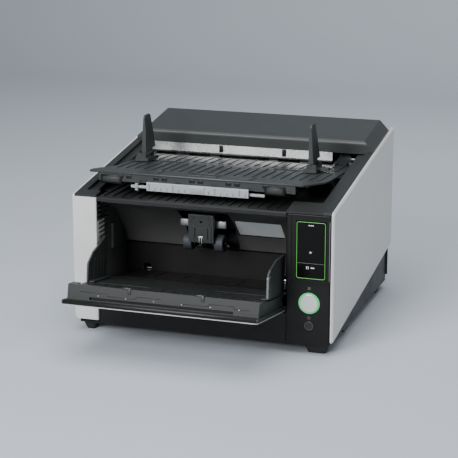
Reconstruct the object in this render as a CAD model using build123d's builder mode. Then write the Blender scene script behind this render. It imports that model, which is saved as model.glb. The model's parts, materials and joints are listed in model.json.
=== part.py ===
"""Sheet fed document scanner with a front hopper door, a lifting paper table and a stacker on top.

Millimetres, +Z up, +X to the right of someone facing the scanner, the front towards -Y. The origin
is on the table top, under the middle of the scanner's box with its hopper door open. Most outlines
are given as (depth, height): depth is measured back from the front face, height up from the table
top.
"""

from build123d import *
from math import atan2, cos, pi, radians, sin
import os

os.makedirs("parts", exist_ok=True)

# ---------------------------------------------------------------- driving dimensions
WIDTH = 460.0
DEPTH = 430.0
FRONT_TOP = 243.0  # height of the side panels at the front
REAR_TOP = 310.0  # height of the side panels at the back
PANEL_FOOT_FRONT = 22.0  # the panels' lower edge rises towards the back
PANEL_FOOT_REAR = 85.0
OPEN_LEFT = -186.0  # hopper opening
OPEN_RIGHT = 149.0
WALL = 3.0
CLEAR = 0.5  # gap between moving plastic parts

DOOR_REACH = 151.0  # hinge side to front edge
DOOR_TILT = 8.6  # degrees above level when open
DOOR_FOOT = 72.0  # height of the open door's outer skin at the front face
FLOOR_N = 26.0  # paper floor of the open door above its outer skin

HALF = WIDTH / 2
INNER = HALF - 4.5  # inside of the side panels
PATH_X = (OPEN_LEFT + OPEN_RIGHT) / 2  # middle of the paper path
TILT_COS = cos(radians(DOOR_TILT))
TILT_SIN = sin(radians(DOOR_TILT))
FRONT = -(DEPTH - DOOR_REACH * TILT_COS) / 2  # Y of the front face
TOP_SLOPE = (REAR_TOP - FRONT_TOP) / DEPTH
FOOT_SLOPE = (PANEL_FOOT_REAR - PANEL_FOOT_FRONT) / DEPTH

# The door turns about a pin PIN_N above its outer skin, placed so that the closed skin is flush
# with the front.
PIN_N = 5.0
PIN_U = -PIN_N * (1 - TILT_SIN) / TILT_COS
PIN_DEPTH = PIN_N
PIN_HEIGHT = DOOR_FOOT + PIN_U * TILT_SIN + PIN_N * TILT_COS

# Shafts, as (depth, height)
PICK_SHAFT = (80.0, 155.5)
FEED_SHAFT = (158.0, 147.0)
PAPER_LINE = 131.0  # height of the straight paper path through the scan units
TRANSPORT_R = 11.0
GEAR_MODULE = 1.5
GEAR_TEETH = 30
GEAR_CENTRES = GEAR_MODULE * GEAR_TEETH
TRANSPORT_Z = PAPER_LINE - TRANSPORT_R - 0.4
TRANSPORT_A = (FEED_SHAFT[0] + (GEAR_CENTRES**2 - (FEED_SHAFT[1] - TRANSPORT_Z) ** 2) ** 0.5, TRANSPORT_Z)
TRANSPORT_B = (312.0, TRANSPORT_Z)
TURN_CENTRE = (330.0, 198.5)
TURN_R = TURN_CENTRE[1] - PAPER_LINE
EXIT_LINE = TURN_CENTRE[1] + TURN_R  # height at which sheets come out
EXIT_SHAFT = (303.0, EXIT_LINE - 10.4)
LIFT_SHAFT = (141.0, 70.0)
HOOD_HINGE = (420.0, 300.0)
TRAY_HINGE = (252.0, 257.0)
SHAFT_R = 4.0
FAN_X, FAN_Z, FAN_BACK = 188.0, 120.0, DEPTH - 6.5
RUNNING = 0.05  # radial clearance of a shaft in its bush


# ---------------------------------------------------------------- shared shapes
def panel_top(depth):
    """Height of the side panels' sloping top edge."""
    return FRONT_TOP + TOP_SLOPE * depth


def panel_foot(depth):
    """Height of the side panels' sloping lower edge."""
    return PANEL_FOOT_FRONT + FOOT_SLOPE * depth


def at(depth, height, x=0.0):
    """A point in the model from its depth behind the front face and its height."""
    return (x, FRONT + depth, height)


def side_plane(x):
    """Sketch plane across the scanner at x: first axis depth, second axis height."""
    return Plane(origin=(x, FRONT, 0), x_dir=(0, 1, 0), z_dir=(1, 0, 0))


def door_plane(x):
    """Sketch plane across the open door at x: first axis out from the hinge, second axis up off the
    skin."""
    return Plane(origin=(x, FRONT, DOOR_FOOT), x_dir=(0, -TILT_COS, TILT_SIN), z_dir=(-1, 0, 0))


def hopper_origin(out, up, x=PATH_X):
    """A point in the open door's own axes."""
    return at(-out * TILT_COS + up * TILT_SIN, DOOR_FOOT + out * TILT_SIN + up * TILT_COS, x)


def profile(plane, points, radius=0.0):
    """A closed outline on a plane, with its corners rounded where a radius is given."""
    with BuildSketch(plane, mode=Mode.PRIVATE) as outline:
        with BuildLine():
            Polyline(*points, close=True)
        make_face()
        if radius:
            fillet(outline.vertices(), radius)
    return outline.sketch


def prism(points, x_low, x_high, mode=Mode.ADD, radius=0.0):
    """A (depth, height) outline carried from x_low to x_high."""
    extrude(profile(side_plane(x_low), points, radius), amount=x_high - x_low, mode=mode)


def door_prism(points, x_low, x_high, mode=Mode.ADD, radius=0.0):
    """An outline in the open door's own axes carried from x_low to x_high."""
    extrude(profile(door_plane(x_high), points, radius), amount=x_high - x_low, mode=mode)


def corners(low, high):
    """The four corners of a rectangle between two opposite points."""
    return [(low[0], low[1]), (high[0], low[1]), (high[0], high[1]), (low[0], high[1])]


def block(x, depth, height, mode=Mode.ADD):
    """A box from three (low, high) pairs."""
    centre = at((depth[0] + depth[1]) / 2, (height[0] + height[1]) / 2, (x[0] + x[1]) / 2)
    with Locations(centre):
        Box(x[1] - x[0], depth[1] - depth[0], height[1] - height[0], mode=mode)


def door_block(x, out, up, mode=Mode.ADD):
    """A box in the open door's own axes."""
    door_prism(corners((out[0], up[0]), (out[1], up[1])), x[0], x[1], mode)


def rod(place, radius, x_low, x_high, mode=Mode.ADD):
    """A round bar along X at (depth, height)."""
    with BuildSketch(side_plane(x_low), mode=Mode.PRIVATE) as disc:
        with Locations(place):
            Circle(radius)
    extrude(disc.sketch, amount=x_high - x_low, mode=mode)


def disc_y(x, height, radius, depth_low, depth_high, mode=Mode.ADD):
    """A round bar along Y at (x, height)."""
    plane = Plane(origin=(x, FRONT + depth_low, height), x_dir=(1, 0, 0), z_dir=(0, 1, 0))
    with BuildSketch(plane, mode=Mode.PRIVATE) as disc:
        Circle(radius)
    extrude(disc.sketch, amount=depth_high - depth_low, mode=mode)


def gear_points(teeth, module, turn=0.0):
    """Outline of a spur gear with straight flanks and slack for backlash, its first tooth at the
    angle turn."""
    pitch_r = module * teeth / 2
    root, tip = pitch_r - 1.1 * module, pitch_r + 0.72 * module
    wide, narrow = 0.36 * pi / teeth * 2, 0.15 * pi / teeth * 2
    points = []
    for tooth in range(teeth):
        middle = turn + 2 * pi * tooth / teeth
        for radius, angle in ((root, -wide), (tip, -narrow), (tip, narrow), (root, wide)):
            points.append((radius * cos(middle + angle), radius * sin(middle + angle)))
    return points


def rack_points(low, high, pitch_line, back, module, phase):
    """Outline of a rack along the first axis: teeth on the pitch line, flat at back, a tooth
    centred at phase."""
    towards = 1 if pitch_line > back else -1
    step = pi * module
    root, tip = pitch_line - towards * 1.1 * module, pitch_line + towards * 0.72 * module
    points = [(low, back)]
    first = phase - step * int((phase - low - 0.4 * step) / step)
    middle = first
    while middle + 0.4 * step < high:
        for height, shift in ((root, -0.34), (tip, -0.14), (tip, 0.14), (root, 0.34)):
            points.append((middle + shift * step, height))
        middle += step
    points.insert(1, (low, root))
    return points + [(high, root), (high, back)]


def save(builder, name):
    """Labels a finished piece and writes its STEP file."""
    builder.part.label = name
    export_step(builder.part, f"parts/{name}.step")


# ---------------------------------------------------------------- casing
def panel_outline(grow=0.0):
    """A side panel seen from the side, moved in by -grow."""
    return [
        (-grow, PANEL_FOOT_FRONT - grow),
        (-grow, FRONT_TOP + grow),
        (DEPTH + grow, REAR_TOP + grow),
        (DEPTH + grow, PANEL_FOOT_REAR - grow),
    ]


RETURN_DEPTH = 34.0  # how far the left panel's return reaches into the opening
with BuildPart() as left_side_panel:
    prism(panel_outline(), -HALF, -HALF + 4.5, radius=5)
    fillet(left_side_panel.faces().sort_by(Axis.X)[0].edges(), 2.2)
    block((-HALF + 4, OPEN_LEFT), (0, 4), (PANEL_FOOT_FRONT, FRONT_TOP - 4))
    fillet(left_side_panel.edges().filter_by(Axis.Z).group_by(Axis.X)[-1].sort_by(Axis.Y)[0:1], 1.5)
    block((OPEN_LEFT - 2.5, OPEN_LEFT), (3, RETURN_DEPTH), (100, 196))
    block((OPEN_LEFT - 2.5, OPEN_LEFT), (3, 12), (PANEL_FOOT_FRONT, 100))
    rod((PIN_DEPTH, PIN_HEIGHT), 2.3 + RUNNING, -190, -184, Mode.SUBTRACT)
    rod(HOOD_HINGE, 3, -226, -209)
save(left_side_panel, "left_side_panel")

with BuildPart() as right_side_panel:
    prism(panel_outline(), HALF - 4.5, HALF, radius=5)
    chamfer(right_side_panel.faces().sort_by(Axis.X)[-1].edges(), 2.4)
    rod(HOOD_HINGE, 3, 209, 226)
save(right_side_panel, "right_side_panel")

BASE_LOW = 15.0
SIDE_X = HALF - 8.0
with BuildPart() as base_pan:
    block((-SIDE_X, SIDE_X), (5, DEPTH - 6.5), (BASE_LOW, BASE_LOW + WALL))
    block((OPEN_LEFT + 0.5, OPEN_RIGHT - 0.5), (5, 7.5), (BASE_LOW, 67))
    for x in (-120, -18.5, 83):
        block((x - 1, x + 1), (7, 16), (BASE_LOW, 60))
    for sign in (-1, 1):
        wall = sorted((sign * SIDE_X, sign * (SIDE_X - WALL)))
        start = 6 if sign < 0 else 61
        outline = [
            (start, BASE_LOW), (start, panel_foot(start) + 8), (DEPTH - 6.5, panel_foot(DEPTH) + 8),
            (DEPTH - 6.5, BASE_LOW + 7), (DEPTH - 14, BASE_LOW),
        ]
        prism(outline, wall[0], wall[1])
        block(sorted((sign * SIDE_X, sign * (SIDE_X - 18))), (106, 134), (10, BASE_LOW + 1))
    for rib in range(5):
        block((-184, 148), (80 + 65 * rib, 82 + 65 * rib), (BASE_LOW + 2, BASE_LOW + 9))
save(base_pan, "base_pan")

with BuildPart() as rubber_feet:
    for x, depth, top_x, top_y in ((-208, 22, 26, 22), (199, 24, 42, 26), (-203, 388, 34, 30),
                                   (203, 388, 34, 30)):
        with BuildSketch(Plane(at(depth, BASE_LOW - 0.0, x))) as top:
            RectangleRounded(top_x, top_y, 5)
        with BuildSketch(Plane(at(depth, 0, x))) as bottom:
            RectangleRounded(top_x - 12, top_y - 9, 4)
        loft()
save(rubber_feet, "rubber_feet")

# Control column: a tall moulding with the screen and two buttons in its front face
SCREEN_X, SCREEN_Z = 191.3, 178.5
SCREEN_W, SCREEN_H = 51.5, 98.0
SCAN_X, SCAN_Z, SCAN_R = 189.5, 89.5, 15.6
POWER_X, POWER_Z, POWER_R = 189.5, 50.7, 8.4
COLUMN_LEFT, COLUMN_RIGHT = OPEN_RIGHT, HALF - 5.0
COLUMN_BACK = 60.0
with BuildPart() as control_column:
    block((COLUMN_LEFT, COLUMN_RIGHT), (0, COLUMN_BACK), (18, FRONT_TOP - 4.1))
    fillet(control_column.edges().filter_by(Axis.Z).group_by(Axis.Y)[0], 3.5)
    fillet(control_column.faces().sort_by(Axis.Y)[0].edges().filter_by(Axis.X), 2.5)
    block((COLUMN_LEFT + WALL, COLUMN_RIGHT - 2), (WALL, COLUMN_BACK + 1), (18 + WALL, FRONT_TOP + 5),
          Mode.SUBTRACT)
    block((SCREEN_X - 33, SCREEN_X + 32), (-1, 1.2), (SCREEN_Z - 56, SCREEN_Z + 57), Mode.SUBTRACT)
    block((SCREEN_X - SCREEN_W / 2, SCREEN_X + SCREEN_W / 2), (-1, 5),
          (SCREEN_Z - SCREEN_H / 2, SCREEN_Z + SCREEN_H / 2), Mode.SUBTRACT)
    disc_y(SCAN_X, SCAN_Z, SCAN_R + 2.4, -1, 5, Mode.SUBTRACT)
    disc_y(POWER_X, POWER_Z, POWER_R + 0.5, -1, 5, Mode.SUBTRACT)
    rod((PIN_DEPTH, PIN_HEIGHT), 2.3 + RUNNING, 148, 153, Mode.SUBTRACT)
save(control_column, "control_column")

with BuildPart() as touch_screen:
    block((SCREEN_X - SCREEN_W / 2 + 0.4, SCREEN_X + SCREEN_W / 2 - 0.4), (0.5, 3.2),
          (SCREEN_Z - SCREEN_H / 2 + 0.4, SCREEN_Z + SCREEN_H / 2 - 0.4))
    fillet(touch_screen.edges().filter_by(Axis.Y), 2)
    block((SCREEN_X - 29, SCREEN_X + 29), (3.2, 8), (SCREEN_Z - 53, SCREEN_Z + 53))
    block((SCREEN_X - 20, SCREEN_X + 20), (7.9, 9.6), (SCREEN_Z - 40, SCREEN_Z + 30))
save(touch_screen, "touch_screen")

with BuildPart() as scan_button_ring:
    disc_y(SCAN_X, SCAN_Z, SCAN_R + 2.3, -0.4, 6)
    disc_y(SCAN_X, SCAN_Z, SCAN_R + 0.3, -1, 7, Mode.SUBTRACT)
    chamfer(scan_button_ring.faces().sort_by(Axis.Y)[0].edges(), 0.3)
save(scan_button_ring, "scan_button_ring")

with BuildPart() as scan_button:
    disc_y(SCAN_X, SCAN_Z, SCAN_R, -2.2, 8)
    fillet(scan_button.faces().sort_by(Axis.Y)[0].edges(), 1.2)
    disc_y(SCAN_X, SCAN_Z, 9, 7.9, 14)
save(scan_button, "scan_button")

with BuildPart() as power_button:
    disc_y(POWER_X, POWER_Z, POWER_R, -0.3, 8)
    fillet(power_button.faces().sort_by(Axis.Y)[0].edges(), 0.6)
    disc_y(POWER_X, POWER_Z, 5, 7.9, 13)
save(power_button, "power_button")

# Top frame: flanges beside the stacker, a lower ledge inside each, and the front corners
FLANGE_IN = 212.0
LEDGE_IN = 197.0
FRAME_END = 283.0
LEDGE_DROP = 5.0


def sloping_strip(x_low, x_high, depth_low, depth_high, drop, thick):
    """A strip parallel to the panels' top edge, its top face drop below that edge."""
    top = [(depth_low, panel_top(depth_low) - drop), (depth_high, panel_top(depth_high) - drop)]
    prism(top + [(depth_high, top[1][1] - thick), (depth_low, top[0][1] - thick)], x_low, x_high)


with BuildPart() as top_frame:
    for sign, corner_in, corner_depth in ((-1, OPEN_LEFT, 22), (1, OPEN_RIGHT, 44)):
        flange = sorted((sign * INNER, sign * FLANGE_IN))
        ledge = sorted((sign * (FLANGE_IN + 1), sign * LEDGE_IN))
        wall = sorted((sign * LEDGE_IN, sign * (LEDGE_IN + 2)))
        sloping_strip(flange[0], flange[1], 0, FRAME_END, 0, 4)
        sloping_strip(flange[0], flange[1], FRAME_END - 1, DEPTH - 24, 9, 3)
        sloping_strip(ledge[0], ledge[1], corner_depth - 1, FRAME_END, LEDGE_DROP, 3)
        web = sorted((sign * FLANGE_IN, sign * (FLANGE_IN + 2)))
        sloping_strip(web[0], web[1], 4.5, FRAME_END, 1, 11)
        prism([(64, 233), (64, panel_top(64) - LEDGE_DROP), (FRAME_END, panel_top(FRAME_END) - LEDGE_DROP),
               (FRAME_END, 238.5)], wall[0], wall[1])
        block((-198, 198), (66, 72), (233, 236.4))
        corner = sorted((sign * (FLANGE_IN + 1), corner_in))
        sloping_strip(corner[0], corner[1], 0, corner_depth, 0 if sign < 0 else 1.5,
                      2.0 if sign > 0 else 3.8)
        rod(TRAY_HINGE, 3 + RUNNING, wall[0] - 1, wall[1] + 1, Mode.SUBTRACT)
    fillet(top_frame.faces().sort_by(Axis.Y)[0].edges().filter_by(Axis.X).group_by(Axis.Z)[-1], 1.2)
save(top_frame, "top_frame")

EXIT_PINCH = (303.0, EXIT_LINE + 0.4 + 5)
PINCH_HANGERS = (-168.0, -18.5, 131.0)
# Rear hood: the long dark cover over the exit, hinged at the back
RIDGE = (404.0, 326.0)
FOLD = (284.0, 306.5)
LIP_LOW = 283.5
HOOD_X = INNER - 0.5
HOOD_BACK = DEPTH - 6.8
with BuildPart() as rear_hood:
    outline = [FOLD, RIDGE, (HOOD_BACK, 308), (HOOD_BACK, 292), (HOOD_BACK - 2.6, 292),
               (HOOD_BACK - 2.6, 303), (298, 288), (290, LIP_LOW), (286, LIP_LOW)]
    prism(outline, -HOOD_X, HOOD_X)
    ends = rear_hood.edges().filter_by(lambda e: abs(e.center().X) > HOOD_X - 1)
    chamfer(ends.filter_by(lambda e: abs(e.center().Z - (RIDGE[1] + FOLD[1]) / 2) < 1), 17, 15)
    fillet(rear_hood.edges().filter_by(Axis.X).group_by(Axis.Y)[0], 7)
    ridge_edges = rear_hood.edges().filter_by(lambda e: abs(e.center().Y - FRONT - RIDGE[0]) < 1)
    fillet(ridge_edges, 6)
    cavity = [(292, 294), (300, 303), (RIDGE[0], 321.5), (HOOD_BACK - WALL, 304),
              (HOOD_BACK - WALL, 280), (292, 280)]
    prism(cavity, -HOOD_X + 18, HOOD_X - 18, Mode.SUBTRACT)
    rod(HOOD_HINGE, 4.9, -HOOD_X + 0.5, -HOOD_X + 17)
    rod(HOOD_HINGE, 4.9, HOOD_X - 17, HOOD_X - 0.5)
    for x in PINCH_HANGERS:
        block((x - 2, x + 2), (299, 307), (267.9, 304.5))
        rod(EXIT_PINCH, 2.5 + RUNNING, x - 3, x + 3, Mode.SUBTRACT)
    rod(HOOD_HINGE, 3 + RUNNING, -HOOD_X - 1, HOOD_X + 1, Mode.SUBTRACT)
save(rear_hood, "rear_hood")

# Deck between the hopper and the stacker: a front lip, a ribbed shelf, and the floor of the stacker's well
DECK_SIDE = 196.0
with BuildPart() as stacker_deck:
    lip = [(2, 232.6), (2, 237), (5, 239), (64, 239), (64, 236.6), (8, 236.6), (8, 232.6)]
    prism(lip, OPEN_LEFT + 0.5, OPEN_RIGHT - 0.5)
    block((-DECK_SIDE, DECK_SIDE), (63, 278), (236.6, 239))
    for rib in range(21):
        x = -178 + 16 * rib
        if x < OPEN_RIGHT - 8:
            block((x, x + 1.6), (14, 262), (238.9, 241.5))
    for x in (-183, 146):
        block((x - 2, x + 2), (8, 36), (233, 237))
save(stacker_deck, "stacker_deck")

with BuildPart() as rear_cover:
    outline = [(DEPTH - 6, 26), (DEPTH - 6, 290.5), (DEPTH - 2, 290.5), (DEPTH - 2, 26)]
    prism(outline, -HALF + 5, HALF - 5)
    fillet(rear_cover.faces().sort_by(Axis.Y)[-1].edges(), 1.5)
    for row in range(9):
        block((100, 190), (DEPTH - 8, DEPTH + 1), (170 + 9 * row, 173.5 + 9 * row), Mode.SUBTRACT)
    block((FAN_X - 30, FAN_X + 30), (FAN_BACK - 16, FAN_BACK + 1), (FAN_Z - 30, FAN_Z + 30))
    disc_y(FAN_X, FAN_Z, 28, FAN_BACK - 17, DEPTH + 1, Mode.SUBTRACT)
    disc_y(FAN_X, FAN_Z, 8, FAN_BACK - 16, FAN_BACK - 14)
    for angle in (0, 60, 120):
        with BuildSketch(Plane(origin=at(FAN_BACK - 16, FAN_Z, FAN_X), x_dir=(1, 0, 0),
                               z_dir=(0, 1, 0))) as arm:
            Rectangle(58, 3, rotation=angle)
        extrude(arm.sketch, amount=2)
    disc_y(FAN_X, FAN_Z, 1.5, FAN_BACK - 14.1, FAN_BACK - 6)
    for bar in range(5):
        block((FAN_X - 29, FAN_X + 29), (DEPTH - 5, DEPTH - 3), (99 + 10 * bar, 101 + 10 * bar))
    block((-132.2, -103.8), (DEPTH - 8, DEPTH + 1), (69.8, 90.2), Mode.SUBTRACT)
    block((-206.6, -193.5), (DEPTH - 8, DEPTH + 1), (69.5, 84.5), Mode.SUBTRACT)
    block((-213.5, -200.5), (DEPTH - 8, DEPTH + 1), (69.5, 81.5), Mode.SUBTRACT)
    for x, height in ((-215, 40), (215, 40), (-215, 285), (215, 285), (0, 40)):
        disc_y(x, height, 1.9, DEPTH - 8, DEPTH + 1, Mode.SUBTRACT)
save(rear_cover, "rear_cover")

with BuildPart() as rear_screws:
    for x, height in ((-215, 40), (215, 40), (-215, 285), (215, 285), (0, 40)):
        disc_y(x, height, 1.6, DEPTH - 12, DEPTH - 1.5)
        disc_y(x, height, 3.6, DEPTH - 2, DEPTH - 0.2)
        block((x - 2.4, x + 2.4), (DEPTH - 1, DEPTH + 1), (height - 0.5, height + 0.5), Mode.SUBTRACT)
        block((x - 0.5, x + 0.5), (DEPTH - 1, DEPTH + 1), (height - 2.4, height + 2.4), Mode.SUBTRACT)
save(rear_screws, "rear_screws")

with BuildPart() as power_inlet:
    block((-131.8, -104.2), (DEPTH - 24, DEPTH - 1), (70.2, 89.8))
    block((-128.5, -107.5), (DEPTH - 17, DEPTH), (73, 87), Mode.SUBTRACT)
    for x in (-123, -113):
        block((x - 1, x + 1), (DEPTH - 18, DEPTH - 6), (77, 80))
    block((-119, -117), (DEPTH - 18, DEPTH - 6), (82, 84.5))
save(power_inlet, "power_inlet")

with BuildPart() as main_board:
    block((-207.6, -206), (110, 408), (55, 205))
    block((-206.1, -194), (DEPTH - 22, DEPTH - 1.5), (70, 84))
    block((-206.1, -201), (DEPTH - 22, DEPTH - 1.5), (70, 81))
    block((-213, -207.5), (DEPTH - 22, DEPTH - 1.5), (70, 81))
    for depth, height in ((150, 90), (150, 150), (210, 120), (270, 160), (330, 100)):
        block((-206.1, -202), (depth, depth + 28), (height, height + 28))
    for step in range(6):
        rod((370, 100 + 16 * step), 4.5, -206.1, -194)
save(main_board, "main_board")

with BuildPart() as power_supply:
    block((159, 199), (296, 392), (22, 84))
    for slot in range(8):
        block((158, 161), (304 + 10 * slot, 309 + 10 * slot), (30, 76), Mode.SUBTRACT)
save(power_supply, "power_supply")

with BuildPart() as fan_rotor:
    disc_y(FAN_X, FAN_Z, 11, FAN_BACK - 13, FAN_BACK - 3)
    disc_y(FAN_X, FAN_Z, 1.5 + RUNNING, FAN_BACK - 14, FAN_BACK - 5.5, Mode.SUBTRACT)
    with BuildSketch(Plane(origin=at(FAN_BACK - 12, FAN_Z, FAN_X), x_dir=(1, 0, 0),
                           z_dir=(0, 1, 0))) as low:
        with PolarLocations(18.4, 7):
            Rectangle(16, 1.4)
    with BuildSketch(Plane(origin=at(FAN_BACK - 4, FAN_Z, FAN_X), x_dir=(1, 0, 0),
                           z_dir=(0, 1, 0))) as high:
        with PolarLocations(18.4, 7, start_angle=22):
            Rectangle(16, 1.4)
    for face_low, face_high in zip(low.sketch.faces(), high.sketch.faces()):
        loft([face_low, face_high])
save(fan_rotor, "fan_rotor")

# ---------------------------------------------------------------- inner frame
WALL_LEFT = (-191.0, -188.8)
WALL_RIGHT = (152.4, 154.6)
SHAFTS = (FEED_SHAFT, TRANSPORT_A, TRANSPORT_B, EXIT_SHAFT, LIFT_SHAFT)
SEPARATION_SHAFT = (FEED_SHAFT[0], FEED_SHAFT[1] - 28.6)
PINCH_A = (TRANSPORT_A[0], PAPER_LINE + 0.4 + 7)
PINCH_B = (TRANSPORT_B[0], PAPER_LINE + 0.4 + 7)
with BuildPart() as chassis_frame:
    side = [(61, 18.4), (61, 21.4), (36, 21.4), (36, 228), (280, 228), (284, 262), (340, 276),
            (412, 276), (412, 18.4)]
    for wall in (WALL_LEFT, WALL_RIGHT):
        prism(side, wall[0], wall[1])
        foot = sorted((wall[0], wall[0] - 14)) if wall[0] < 0 else (wall[1], wall[1] + 5)
        for depth in (60, 200, 360):
            block(foot, (depth, depth + 40), (18.4, 20.4))
    block((WALL_LEFT[1], WALL_RIGHT[0]), (196, 214), (196, 198))
    block((WALL_LEFT[1], WALL_RIGHT[0]), (196, 198), (180, 197))
    block((WALL_LEFT[1], WALL_RIGHT[0]), (256, 290), (60, 62))
    block((WALL_LEFT[1], WALL_RIGHT[0]), (256, 258), (50, 61))
    block((WALL_LEFT[1], WALL_RIGHT[0]), (404, 412), (96, 98))
    for shaft in SHAFTS + (SEPARATION_SHAFT, PINCH_A, PINCH_B):
        rod(shaft, SHAFT_R + RUNNING, -200, 160, Mode.SUBTRACT)
    for depth, height in ((60, 210), (110, 210), (380, 40), (380, 240)):
        rod((depth, height), 7, -200, 160, Mode.SUBTRACT)
save(chassis_frame, "chassis_frame")

# Throat cover: side linings with ribbed blocks and the curved wall behind the hopper
with BuildPart() as throat_cover:
    with BuildSketch(side_plane(OPEN_LEFT)):
        with BuildLine():
            top = Line((24, 231), (24, 226))
            face = ThreePointArc((24, 226), (91, 191), (131.2, 133))
            foot = Line((131.2, 133), (134, 133.6))
            back = ThreePointArc((134, 133.6), (93.4, 193.4), (27, 229))
            Polyline((27, 229), (27, 231), (24, 231))
        make_face()
    extrude(amount=OPEN_RIGHT - OPEN_LEFT)
    for side, start in (((OPEN_LEFT - 2.2, OPEN_LEFT), 35), ((OPEN_RIGHT, OPEN_RIGHT + 2.2), 60.5)):
        prism([(start, 62), (start, 224), (90, 224), (133, 133), (129, 62)], side[0], side[1])
    for side in ((OPEN_LEFT - 0.2, OPEN_LEFT + 5), (OPEN_RIGHT - 5, OPEN_RIGHT + 0.2)):
        prism([(60, 136), (60, 180), (76, 180), (84, 136)], side[0], side[1])
    block((-64, 28), (30, 140), (100, 214), Mode.SUBTRACT)
    block((30, 114), (30, 140), (162, 195), Mode.SUBTRACT)
save(throat_cover, "throat_cover")

with BuildPart() as throat_window_plate:
    plate = [(91, 193), (92.5, 194.5), (121, 165), (119.5, 163.5)]
    prism(plate, 31, 113)
save(throat_window_plate, "throat_window_plate")

# ---------------------------------------------------------------- hopper door
DOOR_LEFT, DOOR_RIGHT = OPEN_LEFT + 0.8, OPEN_RIGHT - 0.8
TRAY_LEFT, TRAY_RIGHT = OPEN_LEFT + 4.0, OPEN_RIGHT - 4.4
TRAY_FRONT = 133.0
RIM_N = 32.5
FRAME_N = 8.0
with BuildPart() as door_skin:
    door_block((DOOR_LEFT, DOOR_RIGHT), (0, DOOR_REACH), (0, 1.4))
    fillet(door_skin.edges().filter_by(lambda e: abs(e.length - 1.4) < 0.1).group_by(Axis.Y)[0], 6)
save(door_skin, "door_skin")

RACK_PITCH_R = 16.0
PINION_U = 40.0
RACK_N = (14.0, 20.0)
EXTENSION_X = (-143.0, 102.0)
GUIDE_LEFT_X, GUIDE_RIGHT_X = -176.5, 138.0
PINION_TEETH = 16
PINION_MODULE = 2.0
GUIDE_TRAVEL = 100.0
with BuildPart() as hopper_tray:
    door_block((DOOR_LEFT, DOOR_RIGHT), (6, DOOR_REACH - 1), (1.6, FRAME_N))
    fillet(hopper_tray.faces().sort_by(Axis.Y)[0].edges().filter_by(Axis.X), 2.5)
    sides = [(6, FRAME_N - 1), (TRAY_FRONT + 2, FRAME_N - 1), (TRAY_FRONT, RIM_N), (TRAY_FRONT - 7, RIM_N),
             (TRAY_FRONT - 10, FLOOR_N), (-34.5, FLOOR_N), (-34.5, FLOOR_N - 2.5), (6, FLOOR_N - 2.5)]
    door_prism(sides, TRAY_LEFT, TRAY_RIGHT)
    door_block((TRAY_LEFT + WALL, TRAY_RIGHT - WALL), (6 + WALL, TRAY_FRONT - 6), (4.2, FLOOR_N - 2.5),
               Mode.SUBTRACT)
    door_block((EXTENSION_X[0], EXTENSION_X[1]), (100, 140), (9.2, 13.6), Mode.SUBTRACT)
    for x in (TRAY_LEFT, TRAY_RIGHT - 12):
        door_block((x, x + 12), (110, TRAY_FRONT - 6), (FLOOR_N - 1, RIM_N))
    for span, middle in (((GUIDE_LEFT_X - 4, GUIDE_LEFT_X + GUIDE_TRAVEL + 4), PINION_U + RACK_PITCH_R),
                         ((GUIDE_RIGHT_X - GUIDE_TRAVEL - 4, GUIDE_RIGHT_X + 4), PINION_U - RACK_PITCH_R)):
        door_block(span, (middle - 3.5, middle + 3.5), (FLOOR_N - 4, FLOOR_N + 1), Mode.SUBTRACT)
    for rib in range(15):
        x = -160 + 20 * rib
        door_block((x, x + 1.5), (66, 120), (FLOOR_N - 0.5, FLOOR_N + 0.7))
    with BuildSketch(Plane(origin=hopper_origin(PINION_U, 13.8), x_dir=(1, 0, 0),
                           z_dir=door_plane(0).y_dir)) as post:
        Circle(4)
    extrude(post.sketch, amount=10)
    for side in ((TRAY_LEFT - 5.5, TRAY_LEFT + 0.1), (TRAY_RIGHT - 0.1, TRAY_RIGHT + 6.5)):
        rod((PIN_DEPTH, PIN_HEIGHT), 2.3, side[0], side[1])
    for side in ((TRAY_LEFT, TRAY_LEFT + WALL), (TRAY_RIGHT - WALL, TRAY_RIGHT)):
        door_prism([(8, 1.6), (8, 20), (-3, 10), (-8, 6), (-7, 2), (-3, 1.6)], side[0], side[1])
save(hopper_tray, "hopper_tray")

with BuildPart() as hopper_extension:
    door_block((EXTENSION_X[0] + 0.4, EXTENSION_X[1] - 0.4), (26, TRAY_FRONT - 0.5), (9.5, 13.3))
    for x in (-100, -60, 20, 60):
        door_block((x - 8, x + 8), (40, 110), (9, 14), Mode.SUBTRACT)
    fillet(hopper_extension.edges().filter_by(lambda e: abs(e.length - 3.8) < 0.05).group_by(Axis.Y)[0], 2)
save(hopper_extension, "hopper_extension")


def tray_plane(up):
    """Sketch plane parallel to the door tray's floor: first axis X, second axis out from the hinge."""
    return Plane(origin=hopper_origin(0, up, 0), x_dir=(1, 0, 0), z_dir=(0, -TILT_SIN, -TILT_COS))


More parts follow.
